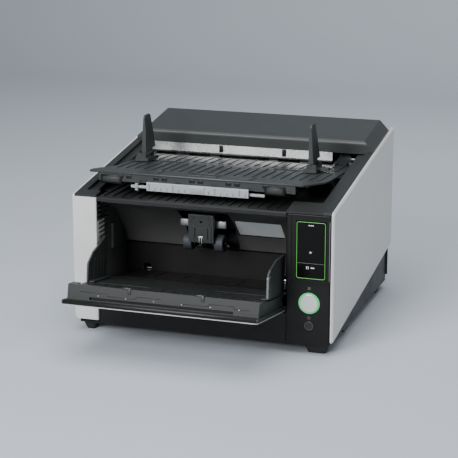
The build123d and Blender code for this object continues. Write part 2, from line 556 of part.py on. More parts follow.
def hopper_guide(inner_x, outward, outline, pitch_u):
    """A side guide standing on the tray with its rack under the tray floor."""
    plate = sorted((inner_x, inner_x + outward * 3))
    door_prism(outline, plate[0], plate[1], radius=2.5)
    foot = sorted((inner_x + outward * 3.4, inner_x - outward * 9))
    door_block(foot, (outline[0][0] + 4, outline[1][0] - 4), (FLOOR_N + 1, FLOOR_N + 2.6))
    neck = sorted((inner_x + outward * 2.2, inner_x - outward * 2.5))
    door_block(neck, (pitch_u - 3, pitch_u + 3), (RACK_N[0] + 0.3, FLOOR_N + 2))
    for rib in range(4):
        start = outline[0][0] + 14 + 13 * rib
        side = sorted((inner_x, inner_x - outward * 1.2))
        door_block(side, (start, start + 1.5), (FLOOR_N + 2, FLOOR_N + 40))
    away = 1 if pitch_u > PINION_U else -1
    end = PATH_X - outward * 11
    span = sorted((inner_x + outward * 2.2, end))
    teeth = rack_points(span[0], span[1], pitch_u, pitch_u + away * 6, PINION_MODULE,
                        PATH_X + pi * PINION_MODULE / 2)
    with BuildSketch(tray_plane(RACK_N[0] + 0.3)) as rack:
        with BuildLine():
            Polyline(*teeth, close=True)
        make_face()
    extrude(rack.sketch, amount=-(RACK_N[1] - RACK_N[0] - 0.6))


with BuildPart() as hopper_guide_left:
    outline = [(-12, 27), (66, 27), (66, 58), (46, 76), (-6, 98), (-12, 96)]
    hopper_guide(GUIDE_LEFT_X, -1, outline, PINION_U + RACK_PITCH_R)
save(hopper_guide_left, "hopper_guide_left")

LEVER_PIN = (77.0, 61.0)  # the right guide's release lever turns here, in the door's own axes
with BuildPart() as hopper_guide_right:
    outline = [(-12, 27), (76, 27), (76, 68), (68, 75), (38, 87), (-6, 92), (-12, 90)]
    hopper_guide(GUIDE_RIGHT_X, 1, outline, PINION_U - RACK_PITCH_R)
    door_block((GUIDE_RIGHT_X, GUIDE_RIGHT_X + 5.5), (74, 76), (30, 66))
    door_block((GUIDE_RIGHT_X + 3, GUIDE_RIGHT_X + 5.5), (66, 76), (30, 66))
    door_prism([(72, 58), (78.6, 58), (78.6, 64), (72, 64)], GUIDE_RIGHT_X, GUIDE_RIGHT_X + 0.8)
    door_prism([(72, 58), (78.6, 58), (78.6, 64), (72, 64)], GUIDE_RIGHT_X + 4.7, GUIDE_RIGHT_X + 5.5)
    with BuildSketch(door_plane(GUIDE_RIGHT_X + 7)) as pin:
        with Locations(LEVER_PIN):
            Circle(0.9 + RUNNING)
    extrude(pin.sketch, amount=8, mode=Mode.SUBTRACT)
save(hopper_guide_right, "hopper_guide_right")

with BuildPart() as guide_pinion:
    with BuildSketch(tray_plane(RACK_N[0] + 0.3)) as teeth:
        with Locations((PATH_X, PINION_U)):
            with BuildLine():
                ring = gear_points(PINION_TEETH, PINION_MODULE)
                Polyline(*[(x + PATH_X, y + PINION_U) for x, y in ring], close=True)
            make_face()
        with Locations((PATH_X, PINION_U)):
            Circle(4 + RUNNING, mode=Mode.SUBTRACT)
    extrude(amount=-(RACK_N[1] - RACK_N[0] - 0.6))
save(guide_pinion, "guide_pinion")

with BuildPart() as guide_release_lever:
    door_prism([(77.4, 30), (79.6, 30), (81.5, 56), (82.5, 62), (81, 65), (77.6, 63), (77.2, 58)],
               GUIDE_RIGHT_X + 1.1, GUIDE_RIGHT_X + 4.4)
    with BuildSketch(door_plane(GUIDE_RIGHT_X + 5.6)) as pin:
        with Locations(LEVER_PIN):
            Circle(0.9)
    extrude(pin.sketch, amount=5.7)
save(guide_release_lever, "guide_release_lever")

# ---------------------------------------------------------------- lifting table
TABLE_X = (-165.0, 128.0)
RACK_X = (-150.0, 105.0)
TABLE_FRONT, TABLE_REAR = 43.0, 129.2
LIFT_TEETH = 16


def table_top(depth):
    """Height of the lowered table's upper face."""
    return 98.5 - 0.143 * depth


with BuildPart() as lift_table:
    top = [(TABLE_FRONT, table_top(TABLE_FRONT)), (TABLE_REAR, table_top(TABLE_REAR))]
    prism(top + [(TABLE_REAR, top[1][1] - 2.5), (TABLE_FRONT, top[0][1] - 2.5)], TABLE_X[0], TABLE_X[1])
    block(TABLE_X, (TABLE_FRONT, TABLE_FRONT + 2), (78, 90))
    for x in (TABLE_X[0], -60, 20, TABLE_X[1] - 2):
        prism([(TABLE_FRONT, 72), (TABLE_FRONT, 88), (120, 78), (120, 72)], x, x + 2)
    for x in RACK_X:
        flat = rack_points(19.6, 79, LIFT_SHAFT[0] - 12, 120, GEAR_MODULE,
                           LIFT_SHAFT[1] + pi * GEAR_MODULE / 2)
        prism([(depth, height) for height, depth in flat], x, x + 8)
    for pad in (-120, -70, 28, 78):
        prism([(60, table_top(60) - 1), (60, table_top(60) + 0.6), (120, table_top(120) + 0.6),
               (120, table_top(120) - 1)], pad, pad + 14)
save(lift_table, "lift_table")

with BuildPart() as lift_shaft:
    rod(LIFT_SHAFT, SHAFT_R, WALL_LEFT[0] - 4, WALL_RIGHT[1] + 4)
    for x in RACK_X:
        ring = gear_points(LIFT_TEETH, GEAR_MODULE)
        prism([(d + LIFT_SHAFT[0], h + LIFT_SHAFT[1]) for d, h in ring], x - 0.5, x + 8.5)
save(lift_shaft, "lift_shaft")

# ---------------------------------------------------------------- picking unit
PICK_R = 15.0
FEED_R = 14.0
TYRES = ((-54.0, -39.0), (2.0, 17.0))
FEED_TYRES = ((-58.0, -38.0), (1.0, 21.0))
ARM_PLATES = ((-36.5, -34.3), (-2.7, -0.5))
with BuildPart() as pick_housing:
    block((-41, 4), (58, 60.5), (160, 209))
    block((-37, 0), (56.5, 58.5), (163, 190))
    block((-41, 4), (58, 126), (206.5, 209))
    for cheek in ((-41, -38.6), (1.6, 4)):
        prism([(58, 168), (66, 181), (126, 181), (126, 209), (58, 209)], cheek[0], cheek[1])
        prism([(60, 186), (60, 204), (112, 204), (112, 192)], cheek[0] - 1.2, cheek[1] + 1.2)
    block((-41, 4), (124, 126), (181, 209))
    for x in (-30, -7):
        block((x - 1.2, x + 1.2), (54.5, 57), (166, 186))
    block((-60, -41), (70, 72.5), (184, 197))
    block((4, 23), (70, 72.5), (184, 197))
    disc_y(-18.5, 196, 2.2, 50, 62, Mode.SUBTRACT)
    fillet(pick_housing.edges().filter_by(Axis.X).group_by(Axis.Z)[-1].group_by(Axis.Y)[0], 2)
save(pick_housing, "pick_housing")

with BuildPart() as pick_arm:
    for plate in ARM_PLATES:
        link = [(PICK_SHAFT[0] - 9, 150), (PICK_SHAFT[0] - 9, 163), (100, 172), (140, 172),
                (FEED_SHAFT[0] + 11, 156),
                (FEED_SHAFT[0] + 11, 140), (FEED_SHAFT[0] - 8, 138), (110, 146), (PICK_SHAFT[0] + 6, 146.5)]
        prism(link, plate[0], plate[1], radius=3)
    block((-36.5, -0.5), (96, 136), (169, 171.5))
    block((-36.5, -0.5), (98, 100.5), (160, 170))
    for shaft in (PICK_SHAFT, FEED_SHAFT):
        rod(shaft, SHAFT_R + RUNNING, -40, 2, Mode.SUBTRACT)
save(pick_arm, "pick_arm")

with BuildPart() as pick_shaft:
    rod(PICK_SHAFT, SHAFT_R, -57, 20)
    for tyre in TYRES:
        rod(PICK_SHAFT, 9.5, tyre[0] + 0.6, tyre[1] - 0.6)
    rod(PICK_SHAFT, 8, -23, -14)
save(pick_shaft, "pick_shaft")

with BuildPart() as pick_tyres:
    for tyre in TYRES:
        rod(PICK_SHAFT, PICK_R, tyre[0], tyre[1])
        rod(PICK_SHAFT, 9.5, tyre[0] - 1, tyre[1] + 1, Mode.SUBTRACT)
    chamfer(pick_tyres.edges().filter_by(GeomType.CIRCLE).filter_by(lambda e: e.radius > 12), 0.8)
save(pick_tyres, "pick_tyres")

GEAR_X = (157.0, 165.0)
PULLEY_X = (167.0, 174.0)
ALONG = atan2(TRANSPORT_A[1] - FEED_SHAFT[1], TRANSPORT_A[0] - FEED_SHAFT[0])


def gear_at(shaft, teeth, turn, mode=Mode.ADD):
    """A spur gear on a shaft in the right-hand drive bay."""
    ring = gear_points(teeth, GEAR_MODULE, turn)
    prism([(d + shaft[0], h + shaft[1]) for d, h in ring], GEAR_X[0], GEAR_X[1], mode)


def meshing(turn, teeth, angle, other_teeth):
    """Turn of a gear meshing at angle with one of the given turn and teeth."""
    step = 2 * pi / teeth
    part = ((angle - turn) / step) % 1.0
    other_step = 2 * pi / other_teeth
    return angle + pi + part * other_step + other_step / 2


with BuildPart() as feed_shaft:
    rod(FEED_SHAFT, SHAFT_R, WALL_LEFT[0] - 3, GEAR_X[1] + 1)
    for tyre in FEED_TYRES:
        rod(FEED_SHAFT, 8.5, tyre[0] + 0.6, tyre[1] - 0.6)
    rod(FEED_SHAFT, 8, -23, -14)
    gear_at(FEED_SHAFT, GEAR_TEETH, ALONG)
save(feed_shaft, "feed_shaft")

with BuildPart() as feed_tyres:
    for tyre in FEED_TYRES:
        rod(FEED_SHAFT, FEED_R, tyre[0], tyre[1])
        rod(FEED_SHAFT, 8.5, tyre[0] - 1, tyre[1] + 1, Mode.SUBTRACT)
save(feed_tyres, "feed_tyres")

with BuildPart() as separation_roller:
    rod(SEPARATION_SHAFT, SHAFT_R, WALL_LEFT[0] - 3, WALL_RIGHT[1] + 1.5)
    for tyre in FEED_TYRES:
        rod(SEPARATION_SHAFT, FEED_R, tyre[0], tyre[1])
save(separation_roller, "separation_roller")

# ---------------------------------------------------------------- paper transport
DRIVEN_TYRES = ((-150.0, -125.0), (-84.0, -66.0), (29.0, 47.0), (88.0, 113.0))
PULLEY_R = 12.0


def roller(shaft, radius, x_low, x_high):
    """A shaft with four rubber-covered barrels."""
    rod(shaft, SHAFT_R, x_low, x_high)
    for tyre in DRIVEN_TYRES:
        rod(shaft, radius, tyre[0], tyre[1])


TURN_A = meshing(ALONG, GEAR_TEETH, ALONG, GEAR_TEETH)
with BuildPart() as transport_front:
    roller(TRANSPORT_A, TRANSPORT_R, WALL_LEFT[0] - 3, PULLEY_X[1] + 1)
    gear_at(TRANSPORT_A, GEAR_TEETH, TURN_A)
    rod(TRANSPORT_A, PULLEY_R, PULLEY_X[0], PULLEY_X[1])
save(transport_front, "transport_front")

with BuildPart() as transport_rear:
    roller(TRANSPORT_B, TRANSPORT_R, WALL_LEFT[0] - 3, PULLEY_X[1] + 1)
    rod(TRANSPORT_B, PULLEY_R, PULLEY_X[0], PULLEY_X[1])
save(transport_rear, "transport_rear")

with BuildPart() as pinch_front:
    roller(PINCH_A, 7, WALL_LEFT[0] - 2, WALL_RIGHT[1] + 1.5)
save(pinch_front, "pinch_front")

with BuildPart() as pinch_rear:
    roller(PINCH_B, 7, WALL_LEFT[0] - 2, WALL_RIGHT[1] + 1.5)
save(pinch_rear, "pinch_rear")

with BuildPart() as drive_belt:
    middle = (TRANSPORT_A[0] + TRANSPORT_B[0]) / 2
    with BuildSketch(side_plane(PULLEY_X[0] + 0.5)) as loop:
        with Locations((middle, TRANSPORT_Z)):
            SlotCenterToCenter(TRANSPORT_B[0] - TRANSPORT_A[0], 2 * (PULLEY_R + 1.7))
            SlotCenterToCenter(TRANSPORT_B[0] - TRANSPORT_A[0], 2 * (PULLEY_R + 0.3), mode=Mode.SUBTRACT)
    extrude(amount=PULLEY_X[1] - PULLEY_X[0] - 1)
save(drive_belt, "drive_belt")

PINION_ANGLE = radians(-50)
DRIVE_TEETH = 14
DRIVE_REACH = GEAR_MODULE * (GEAR_TEETH + DRIVE_TEETH) / 2
MOTOR_SHAFT = (TRANSPORT_A[0] + DRIVE_REACH * cos(PINION_ANGLE),
               TRANSPORT_A[1] + DRIVE_REACH * sin(PINION_ANGLE))
with BuildPart() as feed_motor:
    rod(MOTOR_SHAFT, 24, 180, 214)
    rod(MOTOR_SHAFT, 9, 214, 217)
    block((177.5, 180.2), (MOTOR_SHAFT[0] - 25, MOTOR_SHAFT[0] + 25),
          (MOTOR_SHAFT[1] - 26, MOTOR_SHAFT[1] + 25))
    block((WALL_RIGHT[1], 180), (MOTOR_SHAFT[0] - 25, MOTOR_SHAFT[0] + 25),
          (MOTOR_SHAFT[1] - 28, MOTOR_SHAFT[1] - 26))
    rod(MOTOR_SHAFT, 3 + RUNNING, 170, 200, Mode.SUBTRACT)
save(feed_motor, "feed_motor")

with BuildPart() as feed_pinion:
    gear_at(MOTOR_SHAFT, DRIVE_TEETH, meshing(TURN_A, GEAR_TEETH, PINION_ANGLE, DRIVE_TEETH))
    rod(MOTOR_SHAFT, 3, GEAR_X[0] - 1, 198)
save(feed_pinion, "feed_pinion")

PATH_WIDE = (WALL_LEFT[1], WALL_RIGHT[0])


def windows(depth, reach, low, high):
    """Openings for one row of barrels in a guide plate."""
    for tyre in DRIVEN_TYRES:
        block((tyre[0] - 2, tyre[1] + 2), (depth - reach, depth + reach), (low, high), Mode.SUBTRACT)


with BuildPart() as lower_paper_guide:
    block(PATH_WIDE, (135, 331), (127.6, 130))
    block((OPEN_LEFT + 0.5, OPEN_RIGHT - 0.5), (131.8, 133.8), (60, 129.4))
    block((OPEN_LEFT + 0.5, OPEN_RIGHT - 0.5), (133, 136), (127.6, 129.4))
    for x in RACK_X:
        block((x - 3, x + 11), (130, 135), (50, 92), Mode.SUBTRACT)
    block((-62, 25), (141.5, 174.5), (120, 135), Mode.SUBTRACT)
    windows(TRANSPORT_A[0], 12.5, 120, 135)
    windows(TRANSPORT_B[0], 12.5, 120, 135)
    block((-173, 136), (223, 261), (120, 135), Mode.SUBTRACT)
save(lower_paper_guide, "lower_paper_guide")

with BuildPart() as upper_paper_guide:
    prism([(176, 140), (178, 140), (181, 134.2), (331, 134.2), (331, 132.2), (179, 132.2)],
          PATH_WIDE[0], PATH_WIDE[1])
    windows(PINCH_A[0], 9, 130, 136)
    windows(PINCH_B[0], 9, 130, 136)
    block((-173, 136), (223, 261), (130, 136), Mode.SUBTRACT)
save(upper_paper_guide, "upper_paper_guide")

with BuildPart() as lower_scan_unit:
    block(PATH_WIDE, (224, 260), (92, 124))
    chamfer(lower_scan_unit.edges().filter_by(Axis.X).group_by(Axis.Z)[0], 6)
    block((-172, 135), (225, 259), (124, 127.4))
    for fin in range(14):
        block((-160 + 21 * fin, -150 + 21 * fin), (222.6, 224.1), (100, 120))
save(lower_scan_unit, "lower_scan_unit")

with BuildPart() as upper_scan_unit:
    block(PATH_WIDE, (224, 260), (138.2, 170))
    chamfer(upper_scan_unit.edges().filter_by(Axis.X).group_by(Axis.Z)[-1], 6)
    block((-172, 135), (225, 259), (134.8, 138.3))
    for fin in range(14):
        block((-160 + 21 * fin, -150 + 21 * fin), (222.6, 224.1), (142, 162))
save(upper_scan_unit, "upper_scan_unit")

with BuildPart() as scan_glass:
    block((-172, 135), (225, 259), (127.4, 130.1))
    block((-172, 135), (225, 259), (132.1, 134.8))
save(scan_glass, "scan_glass")

with BuildPart() as turn_guides:
    for radius, shelf in ((TURN_R + 2.5, 2), (TURN_R - 4.5, 2)):
        with BuildSketch(side_plane(PATH_WIDE[0])) as bend:
            with Locations(TURN_CENTRE):
                Circle(radius + shelf)
                Circle(radius, mode=Mode.SUBTRACT)
            with Locations((TURN_CENTRE[0] - 100, TURN_CENTRE[1])):
                Rectangle(203, 200, mode=Mode.SUBTRACT)
        extrude(amount=PATH_WIDE[1] - PATH_WIDE[0])
    for low in (EXIT_LINE + 2.5, EXIT_LINE - 4.5):
        block(PATH_WIDE, (317, 332), (low, low + 2))
    for x in (-110, -18.5, 73):
        prism([(334, 262), (334, 248), (380, 200), (384, 210), (370, 240), (345, 258)], x - 1, x + 1)
save(turn_guides, "turn_guides")

with BuildPart() as exit_roller:
    roller(EXIT_SHAFT, 10, WALL_LEFT[0] - 3, WALL_RIGHT[1] + 3)
save(exit_roller, "exit_roller")

with BuildPart() as exit_pinch_rollers:
    rod(EXIT_PINCH, 2.5, PINCH_HANGERS[0] - 4, PINCH_HANGERS[2] + 4)
    for tyre in DRIVEN_TYRES:
        rod(EXIT_PINCH, 5, tyre[0], tyre[1])
save(exit_pinch_rollers, "exit_pinch_rollers")

with BuildPart() as discharge_brush:
    block((-203, 150), (286.6, 287.8), (268.2, LIP_LOW))
    for clip in range(6):
        x = -190 + 66 * clip
        block((x - 4, x + 4), (285.4, 289), (279, LIP_LOW))
save(discharge_brush, "discharge_brush")

# ---------------------------------------------------------------- stacker on top
TRAY_TIP = 42.0
TRAY_END = 276.0


def tray_top(depth):
    """Height of the stacker tray's upper face."""
    return 276.0 - 14.0 * (depth - TRAY_TIP) / (TRAY_END - TRAY_TIP)


def tray_layer(depth_low, depth_high, low, high, x_low, x_high, mode=Mode.ADD):
    """A layer parallel to the stacker tray, between two heights above its upper face."""
    points = [(depth_low, tray_top(depth_low) + low), (depth_high, tray_top(depth_high) + low),
              (depth_high, tray_top(depth_high) + high), (depth_low, tray_top(depth_low) + high)]
    prism(points, x_low, x_high, mode)


FIN_DEPTH = 190.0
LEFT_FIN_X, RIGHT_FIN_X = -166.5, 139.5
STOPPER_X = (-50.0, 13.0)
STOPPER_HINGE = (56.0, tray_top(56.0) - 2.6)
with BuildPart() as stacker_tray:
    tray_layer(TRAY_TIP, TRAY_END, -2.6, 0, -218, 218)
    plan = [(-217, 42), (165, 42), (190, 90), (192.5, 112), (192.5, 276), (-192.5, 276), (-192.5, 112),
            (-217, 62)]
    with BuildSketch(Plane(origin=(0, FRONT, 230))) as shape:
        with BuildLine():
            Polyline(*plan, close=True)
        make_face()
        fillet(shape.vertices(), 6)
    extrude(amount=60, mode=Mode.INTERSECT)
    block((-198, 152), (TRAY_TIP + 0.4, TRAY_TIP + 3.4), (260, 275))
    block((-194, -155), (TRAY_TIP + 0.6, 62), (257, 272))
    block((100, 134), (TRAY_TIP + 0.6, 62), (257, 272))
    block((-130, 96), (60, 63), (262, 273))
    for rib in range(23):
        x = -184 + 16.4 * rib
        tray_layer(90, 178, -0.5, 1.2, x, x + 1.6)
        tray_layer(204, TRAY_END - 3, -0.5, 1.2, x, x + 1.6)
    for rib in range(7):
        x = -172 + 56 * rib
        tray_layer(66, 240, -8, -2, x, x + 2.2)
    block((STOPPER_X[0] - 0.6, STOPPER_X[1] + 0.6), (51.4, 87), (255, 280), Mode.SUBTRACT)
    for x_low, x_high in ((-190.5, -96), (69, 164)):
        block((x_low, x_high), (184, 196), (250, 280), Mode.SUBTRACT)
    for sign in (-1, 1):
        arm = sorted((sign * 186, sign * 192.5))
        prism([(236, 250), (236, tray_top(236) - 1), (266, tray_top(266) - 1), (266, 250)], arm[0],
              arm[1], radius=3)
        pin = sorted((sign * 192, sign * 198.6))
        rod(TRAY_HINGE, 3, pin[0], pin[1])
    rod(STOPPER_HINGE, 1.4, STOPPER_X[0] - 2, STOPPER_X[0] + 3)
    rod(STOPPER_HINGE, 1.4, STOPPER_X[1] - 3, STOPPER_X[1] + 2)
    for notch in range(6):
        x = -186 + 64 * notch
        block((x, x + 12), (40, 44), (259, 265), Mode.SUBTRACT)
save(stacker_tray, "stacker_tray")

with BuildPart() as scale_bar:
    block((-109, 72), (38.4, 42.4), (247.5, 262.5))
    fillet(scale_bar.edges().filter_by(Axis.X).group_by(Axis.Y)[0], 1.2)
    for mark in range(19):
        x = -105 + 9.6 * mark
        tall = 5 if mark % 3 == 0 else 3
        block((x, x + 0.8), (38, 38.9), (262.5 - 1.5 - tall, 261), Mode.SUBTRACT)
    rod((48, 252), 3, -140, 98)
    for x in (-100, 62):
        block((x - 2, x + 2), (41, 50), (249, 259.8))
    with BuildSketch(side_plane(-132)) as wheel:
        with Locations((48, 252)):
            Circle(4)
            with PolarLocations(5, 8):
                Rectangle(4.5, 2)
    extrude(amount=5)
save(scale_bar, "scale_bar")

with BuildPart() as stacker_stopper:
    rod(STOPPER_HINGE, 2.6, STOPPER_X[0], STOPPER_X[1])
    tray_layer(STOPPER_HINGE[0], 86, -2.6, 0, STOPPER_X[0], STOPPER_X[1])
    tray_layer(68, 84, -4, -2, STOPPER_X[0] + 8, STOPPER_X[1] - 8)
    rod(STOPPER_HINGE, 1.4 + RUNNING, STOPPER_X[0] - 3, STOPPER_X[0] + 3.4, Mode.SUBTRACT)
    rod(STOPPER_HINGE, 1.4 + RUNNING, STOPPER_X[1] - 3.4, STOPPER_X[1] + 3, Mode.SUBTRACT)
save(stacker_stopper, "stacker_stopper")

HUB_Z = tray_top(FIN_DEPTH) + 13.0


def stacker_slider(hub_x, outward):
    """A block sliding across the stacker tray, with a fork for the fin's pin."""
    base = sorted((hub_x + outward * 14, hub_x - outward * 10))
    tray_layer(FIN_DEPTH - 25, FIN_DEPTH + 25, 1.5, 7, base[0], base[1])
    tongue = sorted((hub_x + outward * 8, hub_x - outward * 6))
    tray_layer(FIN_DEPTH - 5.5, FIN_DEPTH + 5.5, -6, 2, tongue[0], tongue[1])
    for low, high in ((FIN_DEPTH - 21, FIN_DEPTH - 15.5), (FIN_DEPTH + 15.5, FIN_DEPTH + 21)):
        block(sorted((hub_x + outward * 12, hub_x - outward * 4.5)), (low, high), (HUB_Z - 8, HUB_Z))
        disc_y(hub_x, HUB_Z, 4.5, low, high)
        block(sorted((hub_x + outward * 12, hub_x + outward * 5)), (low, high), (HUB_Z - 8, HUB_Z + 3))
    disc_y(hub_x, HUB_Z, 2.2 + RUNNING, FIN_DEPTH - 30, FIN_DEPTH + 30, Mode.SUBTRACT)
    block(sorted((hub_x + outward * 14, hub_x + outward * 30)) if outward > 0 else sorted((hub_x - 14,
                                                                                           hub_x - 20)),
          (FIN_DEPTH - 8, FIN_DEPTH + 8), (HUB_Z - 9, HUB_Z - 5))


def stacker_fin(hub_x, outward):
    """A tall tapering side guide that folds down inwards on its pin."""
    front = [(-3.0, 0), (-2.6, 38), (-1.2, 70), (1.4, 71), (3.2, 42), (5.6, 4), (5.0, 0)]
    plane = Plane(origin=at(FIN_DEPTH - 15, HUB_Z, hub_x), x_dir=(1, 0, 0), z_dir=(0, 1, 0))
    with BuildSketch(plane) as shape:
        with BuildLine():
            Polyline(*[(outward * x, -z) for x, z in front], close=True)
        make_face()
    extrude(shape.sketch, amount=46)
    wedge = [(FIN_DEPTH - 15, HUB_Z - 5), (FIN_DEPTH - 15, HUB_Z + 66), (FIN_DEPTH - 12, HUB_Z + 71),
             (FIN_DEPTH + 8, HUB_Z + 71), (FIN_DEPTH + 12, HUB_Z + 68), (FIN_DEPTH + 31, HUB_Z + 8),
             (FIN_DEPTH + 15, HUB_Z + 8), (FIN_DEPTH + 15, HUB_Z - 5)]
    prism(wedge, hub_x - 12, hub_x + 12, Mode.INTERSECT)
    disc_y(hub_x, HUB_Z, 4.2, FIN_DEPTH - 15, FIN_DEPTH + 15)
    disc_y(hub_x, HUB_Z, 2.2, FIN_DEPTH - 20.5, FIN_DEPTH + 20.5)


with BuildPart() as stacker_slider_left:
    stacker_slider(LEFT_FIN_X, -1)
save(stacker_slider_left, "stacker_slider_left")

with BuildPart() as stacker_slider_right:
    stacker_slider(RIGHT_FIN_X, 1)
save(stacker_slider_right, "stacker_slider_right")

with BuildPart() as stacker_fin_left:
    stacker_fin(LEFT_FIN_X, -1)
save(stacker_fin_left, "stacker_fin_left")

with BuildPart() as stacker_fin_right:
    stacker_fin(RIGHT_FIN_X, 1)
save(stacker_fin_right, "stacker_fin_right")
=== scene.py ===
# Desktop sheet fed document scanner: finishes and fine detail around the fixed CAD frame.
# Lengths in the dictionaries are millimetres; meshes are written in metres.

import bmesh
import bpy
import json
import math
import numpy as np
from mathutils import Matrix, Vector


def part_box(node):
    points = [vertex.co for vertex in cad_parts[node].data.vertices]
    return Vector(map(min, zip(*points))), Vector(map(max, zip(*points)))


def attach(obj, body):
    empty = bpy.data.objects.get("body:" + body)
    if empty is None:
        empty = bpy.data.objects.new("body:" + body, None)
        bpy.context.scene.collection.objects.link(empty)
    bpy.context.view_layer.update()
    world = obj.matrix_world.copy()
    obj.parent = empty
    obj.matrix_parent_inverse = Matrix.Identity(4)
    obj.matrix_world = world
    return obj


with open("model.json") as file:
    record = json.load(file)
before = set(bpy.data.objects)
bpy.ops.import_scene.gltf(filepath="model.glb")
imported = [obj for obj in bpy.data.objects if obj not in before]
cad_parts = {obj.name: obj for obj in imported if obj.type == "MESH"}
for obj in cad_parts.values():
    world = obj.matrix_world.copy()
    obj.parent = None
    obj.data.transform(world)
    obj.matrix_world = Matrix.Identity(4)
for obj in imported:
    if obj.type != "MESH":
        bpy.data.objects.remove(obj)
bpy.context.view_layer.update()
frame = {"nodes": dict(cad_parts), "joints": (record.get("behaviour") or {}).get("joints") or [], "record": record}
print("frame loaded:", len(frame["nodes"]), "nodes")

mm = 0.001
joints = {j["name"]: j for j in frame["joints"]}


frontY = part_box("control_column")[0][1] / mm


def span(node):
    # lowest and highest corner of a CAD node in house axes: x, depth behind the front face, height
    low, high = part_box(node)
    shift = np.array([0.0, frontY, 0.0])
    return np.array(low) / mm - shift, np.array(high) / mm - shift


# Door axes are x, distance out from the hinge, height off the skin.
# Tray axes are x, distance back, height off the tray.
doorOut = -np.array(joints["extension_slide"]["axis"], float)
doorUp = -np.cross([1.0, 0.0, 0.0], doorOut)
doorPin = np.array(joints["door_hinge"]["pos_m"], float) / mm
pinLift = doorPin[1] - frontY
pinOut = pinLift * (1 - doorOut[2]) / doorOut[1]
doorFoot = doorPin - doorOut * pinOut - doorUp * pinLift
trayLook = dict(startDepth=42.0, startHeight=276.0, fall=14.0 / 234.0)
trayBack = np.array([0.0, 1.0, -trayLook["fall"]]) / math.hypot(1.0, trayLook["fall"])
trayUp = np.array([0.0, trayLook["fall"], 1.0]) / math.hypot(1.0, trayLook["fall"])

houseAxes = (np.array([0.0, frontY, 0.0]), np.eye(3))
doorAxes = (doorFoot, np.array([[1.0, 0.0, 0.0], doorOut, doorUp]))
trayAxes = (np.array([0.0, frontY + trayLook["startDepth"], trayLook["startHeight"]]),
            np.array([[1.0, 0.0, 0.0], trayBack, trayUp]))
print("front face at", round(frontY, 2), "door foot at", np.round(doorFoot, 2))


def toWorld(points, axes):
    # a point in house, door or tray axes, carried to metres in the frame
    origin, rows = axes
    return (origin + np.asarray(points, float) @ rows) * mm


finishes = {}


def makeFinish(name, look):
    # principled surface whose tone, roughness and bump come from two scales of noise
    material = bpy.data.materials.new(name)
    material.use_nodes = True
    nodes, links = material.node_tree.nodes, material.node_tree.links
    shader = nodes["Principled BSDF"]
    where = nodes.new("ShaderNodeTexCoord")
    stretch = nodes.new("ShaderNodeMapping")
    stretch.inputs["Scale"].default_value = look.get("stretch", (1.0, 1.0, 1.0))
    links.new(where.outputs["Object"], stretch.inputs["Vector"])

    grain = nodes.new("ShaderNodeTexNoise")
    grain.inputs["Scale"].default_value = look.get("grainScale", 1400.0)
    grain.inputs["Detail"].default_value = 4.0
    cloud = nodes.new("ShaderNodeTexNoise")
    cloud.inputs["Scale"].default_value = look.get("cloudScale", 22.0)
    cloud.inputs["Detail"].default_value = 3.0
    links.new(stretch.outputs["Vector"], grain.inputs["Vector"])
    links.new(where.outputs["Object"], cloud.inputs["Vector"])

    tone = nodes.new("ShaderNodeValToRGB")
    base = np.array(look["colour"])
    spread = look.get("spread", 0.12)
    tone.color_ramp.elements[0].position = 0.3
    tone.color_ramp.elements[1].position = 0.7
    tone.color_ramp.elements[0].color = (*np.clip(base * (1 - spread), 0, 1), 1)
    tone.color_ramp.elements[1].color = (*np.clip(base * (1 + spread), 0, 1), 1)
    links.new(cloud.outputs["Fac"], tone.inputs["Fac"])

    fleck = nodes.new("ShaderNodeMix")
    fleck.data_type = "RGBA"
    fleck.blend_type = "MULTIPLY"
    fleck.inputs["Factor"].default_value = look.get("fleck", 0.25)
    grainTone = nodes.new("ShaderNodeValToRGB")
    grainTone.color_ramp.elements[0].position = 0.35
    grainTone.color_ramp.elements[1].position = 0.62
    grainTone.color_ramp.elements[0].color = (0.6, 0.6, 0.6, 1)
    grainTone.color_ramp.elements[1].color = (1.15, 1.15, 1.15, 1)
    links.new(grain.outputs["Fac"], grainTone.inputs["Fac"])
    links.new(tone.outputs["Color"], fleck.inputs["A"])
    links.new(grainTone.outputs["Color"], fleck.inputs["B"])
    links.new(fleck.outputs["Result"], shader.inputs["Base Color"])

    rough = nodes.new("ShaderNodeMapRange")
    rough.inputs["From Min"].default_value = 0.3
    rough.inputs["From Max"].default_value = 0.7
    rough.inputs["To Min"].default_value = look.get("rough", (0.4, 0.5))[0]
    rough.inputs["To Max"].default_value = look.get("rough", (0.4, 0.5))[1]
    links.new(cloud.outputs["Fac"], rough.inputs["Value"])
    links.new(rough.outputs["Result"], shader.inputs["Roughness"])

    bump = nodes.new("ShaderNodeBump")
    bump.inputs["Strength"].default_value = look.get("bump", 0.15)
    bump.inputs["Distance"].default_value = look.get("bumpDepth", 0.00015)
    links.new(grain.outputs["Fac"], bump.inputs["Height"])
    links.new(bump.outputs["Normal"], shader.inputs["Normal"])

    shader.inputs["Metallic"].default_value = look.get("metallic", 0.0)
    shader.inputs["Specular IOR Level"].default_value = look.get("specular", 0.5)
    if "coat" in look:
        shader.inputs["Coat Weight"].default_value = look["coat"]
        shader.inputs["Coat Roughness"].default_value = look.get("coatRough", 0.15)
    if "glow" in look:
        shader.inputs["Emission Color"].default_value = (*look["glow"], 1)
        shader.inputs["Emission Strength"].default_value = look["glowStrength"]
    if "transmission" in look:
        shader.inputs["Transmission Weight"].default_value = look["transmission"]
        shader.inputs["IOR"].default_value = 1.5
    finishes[name] = material
    return material


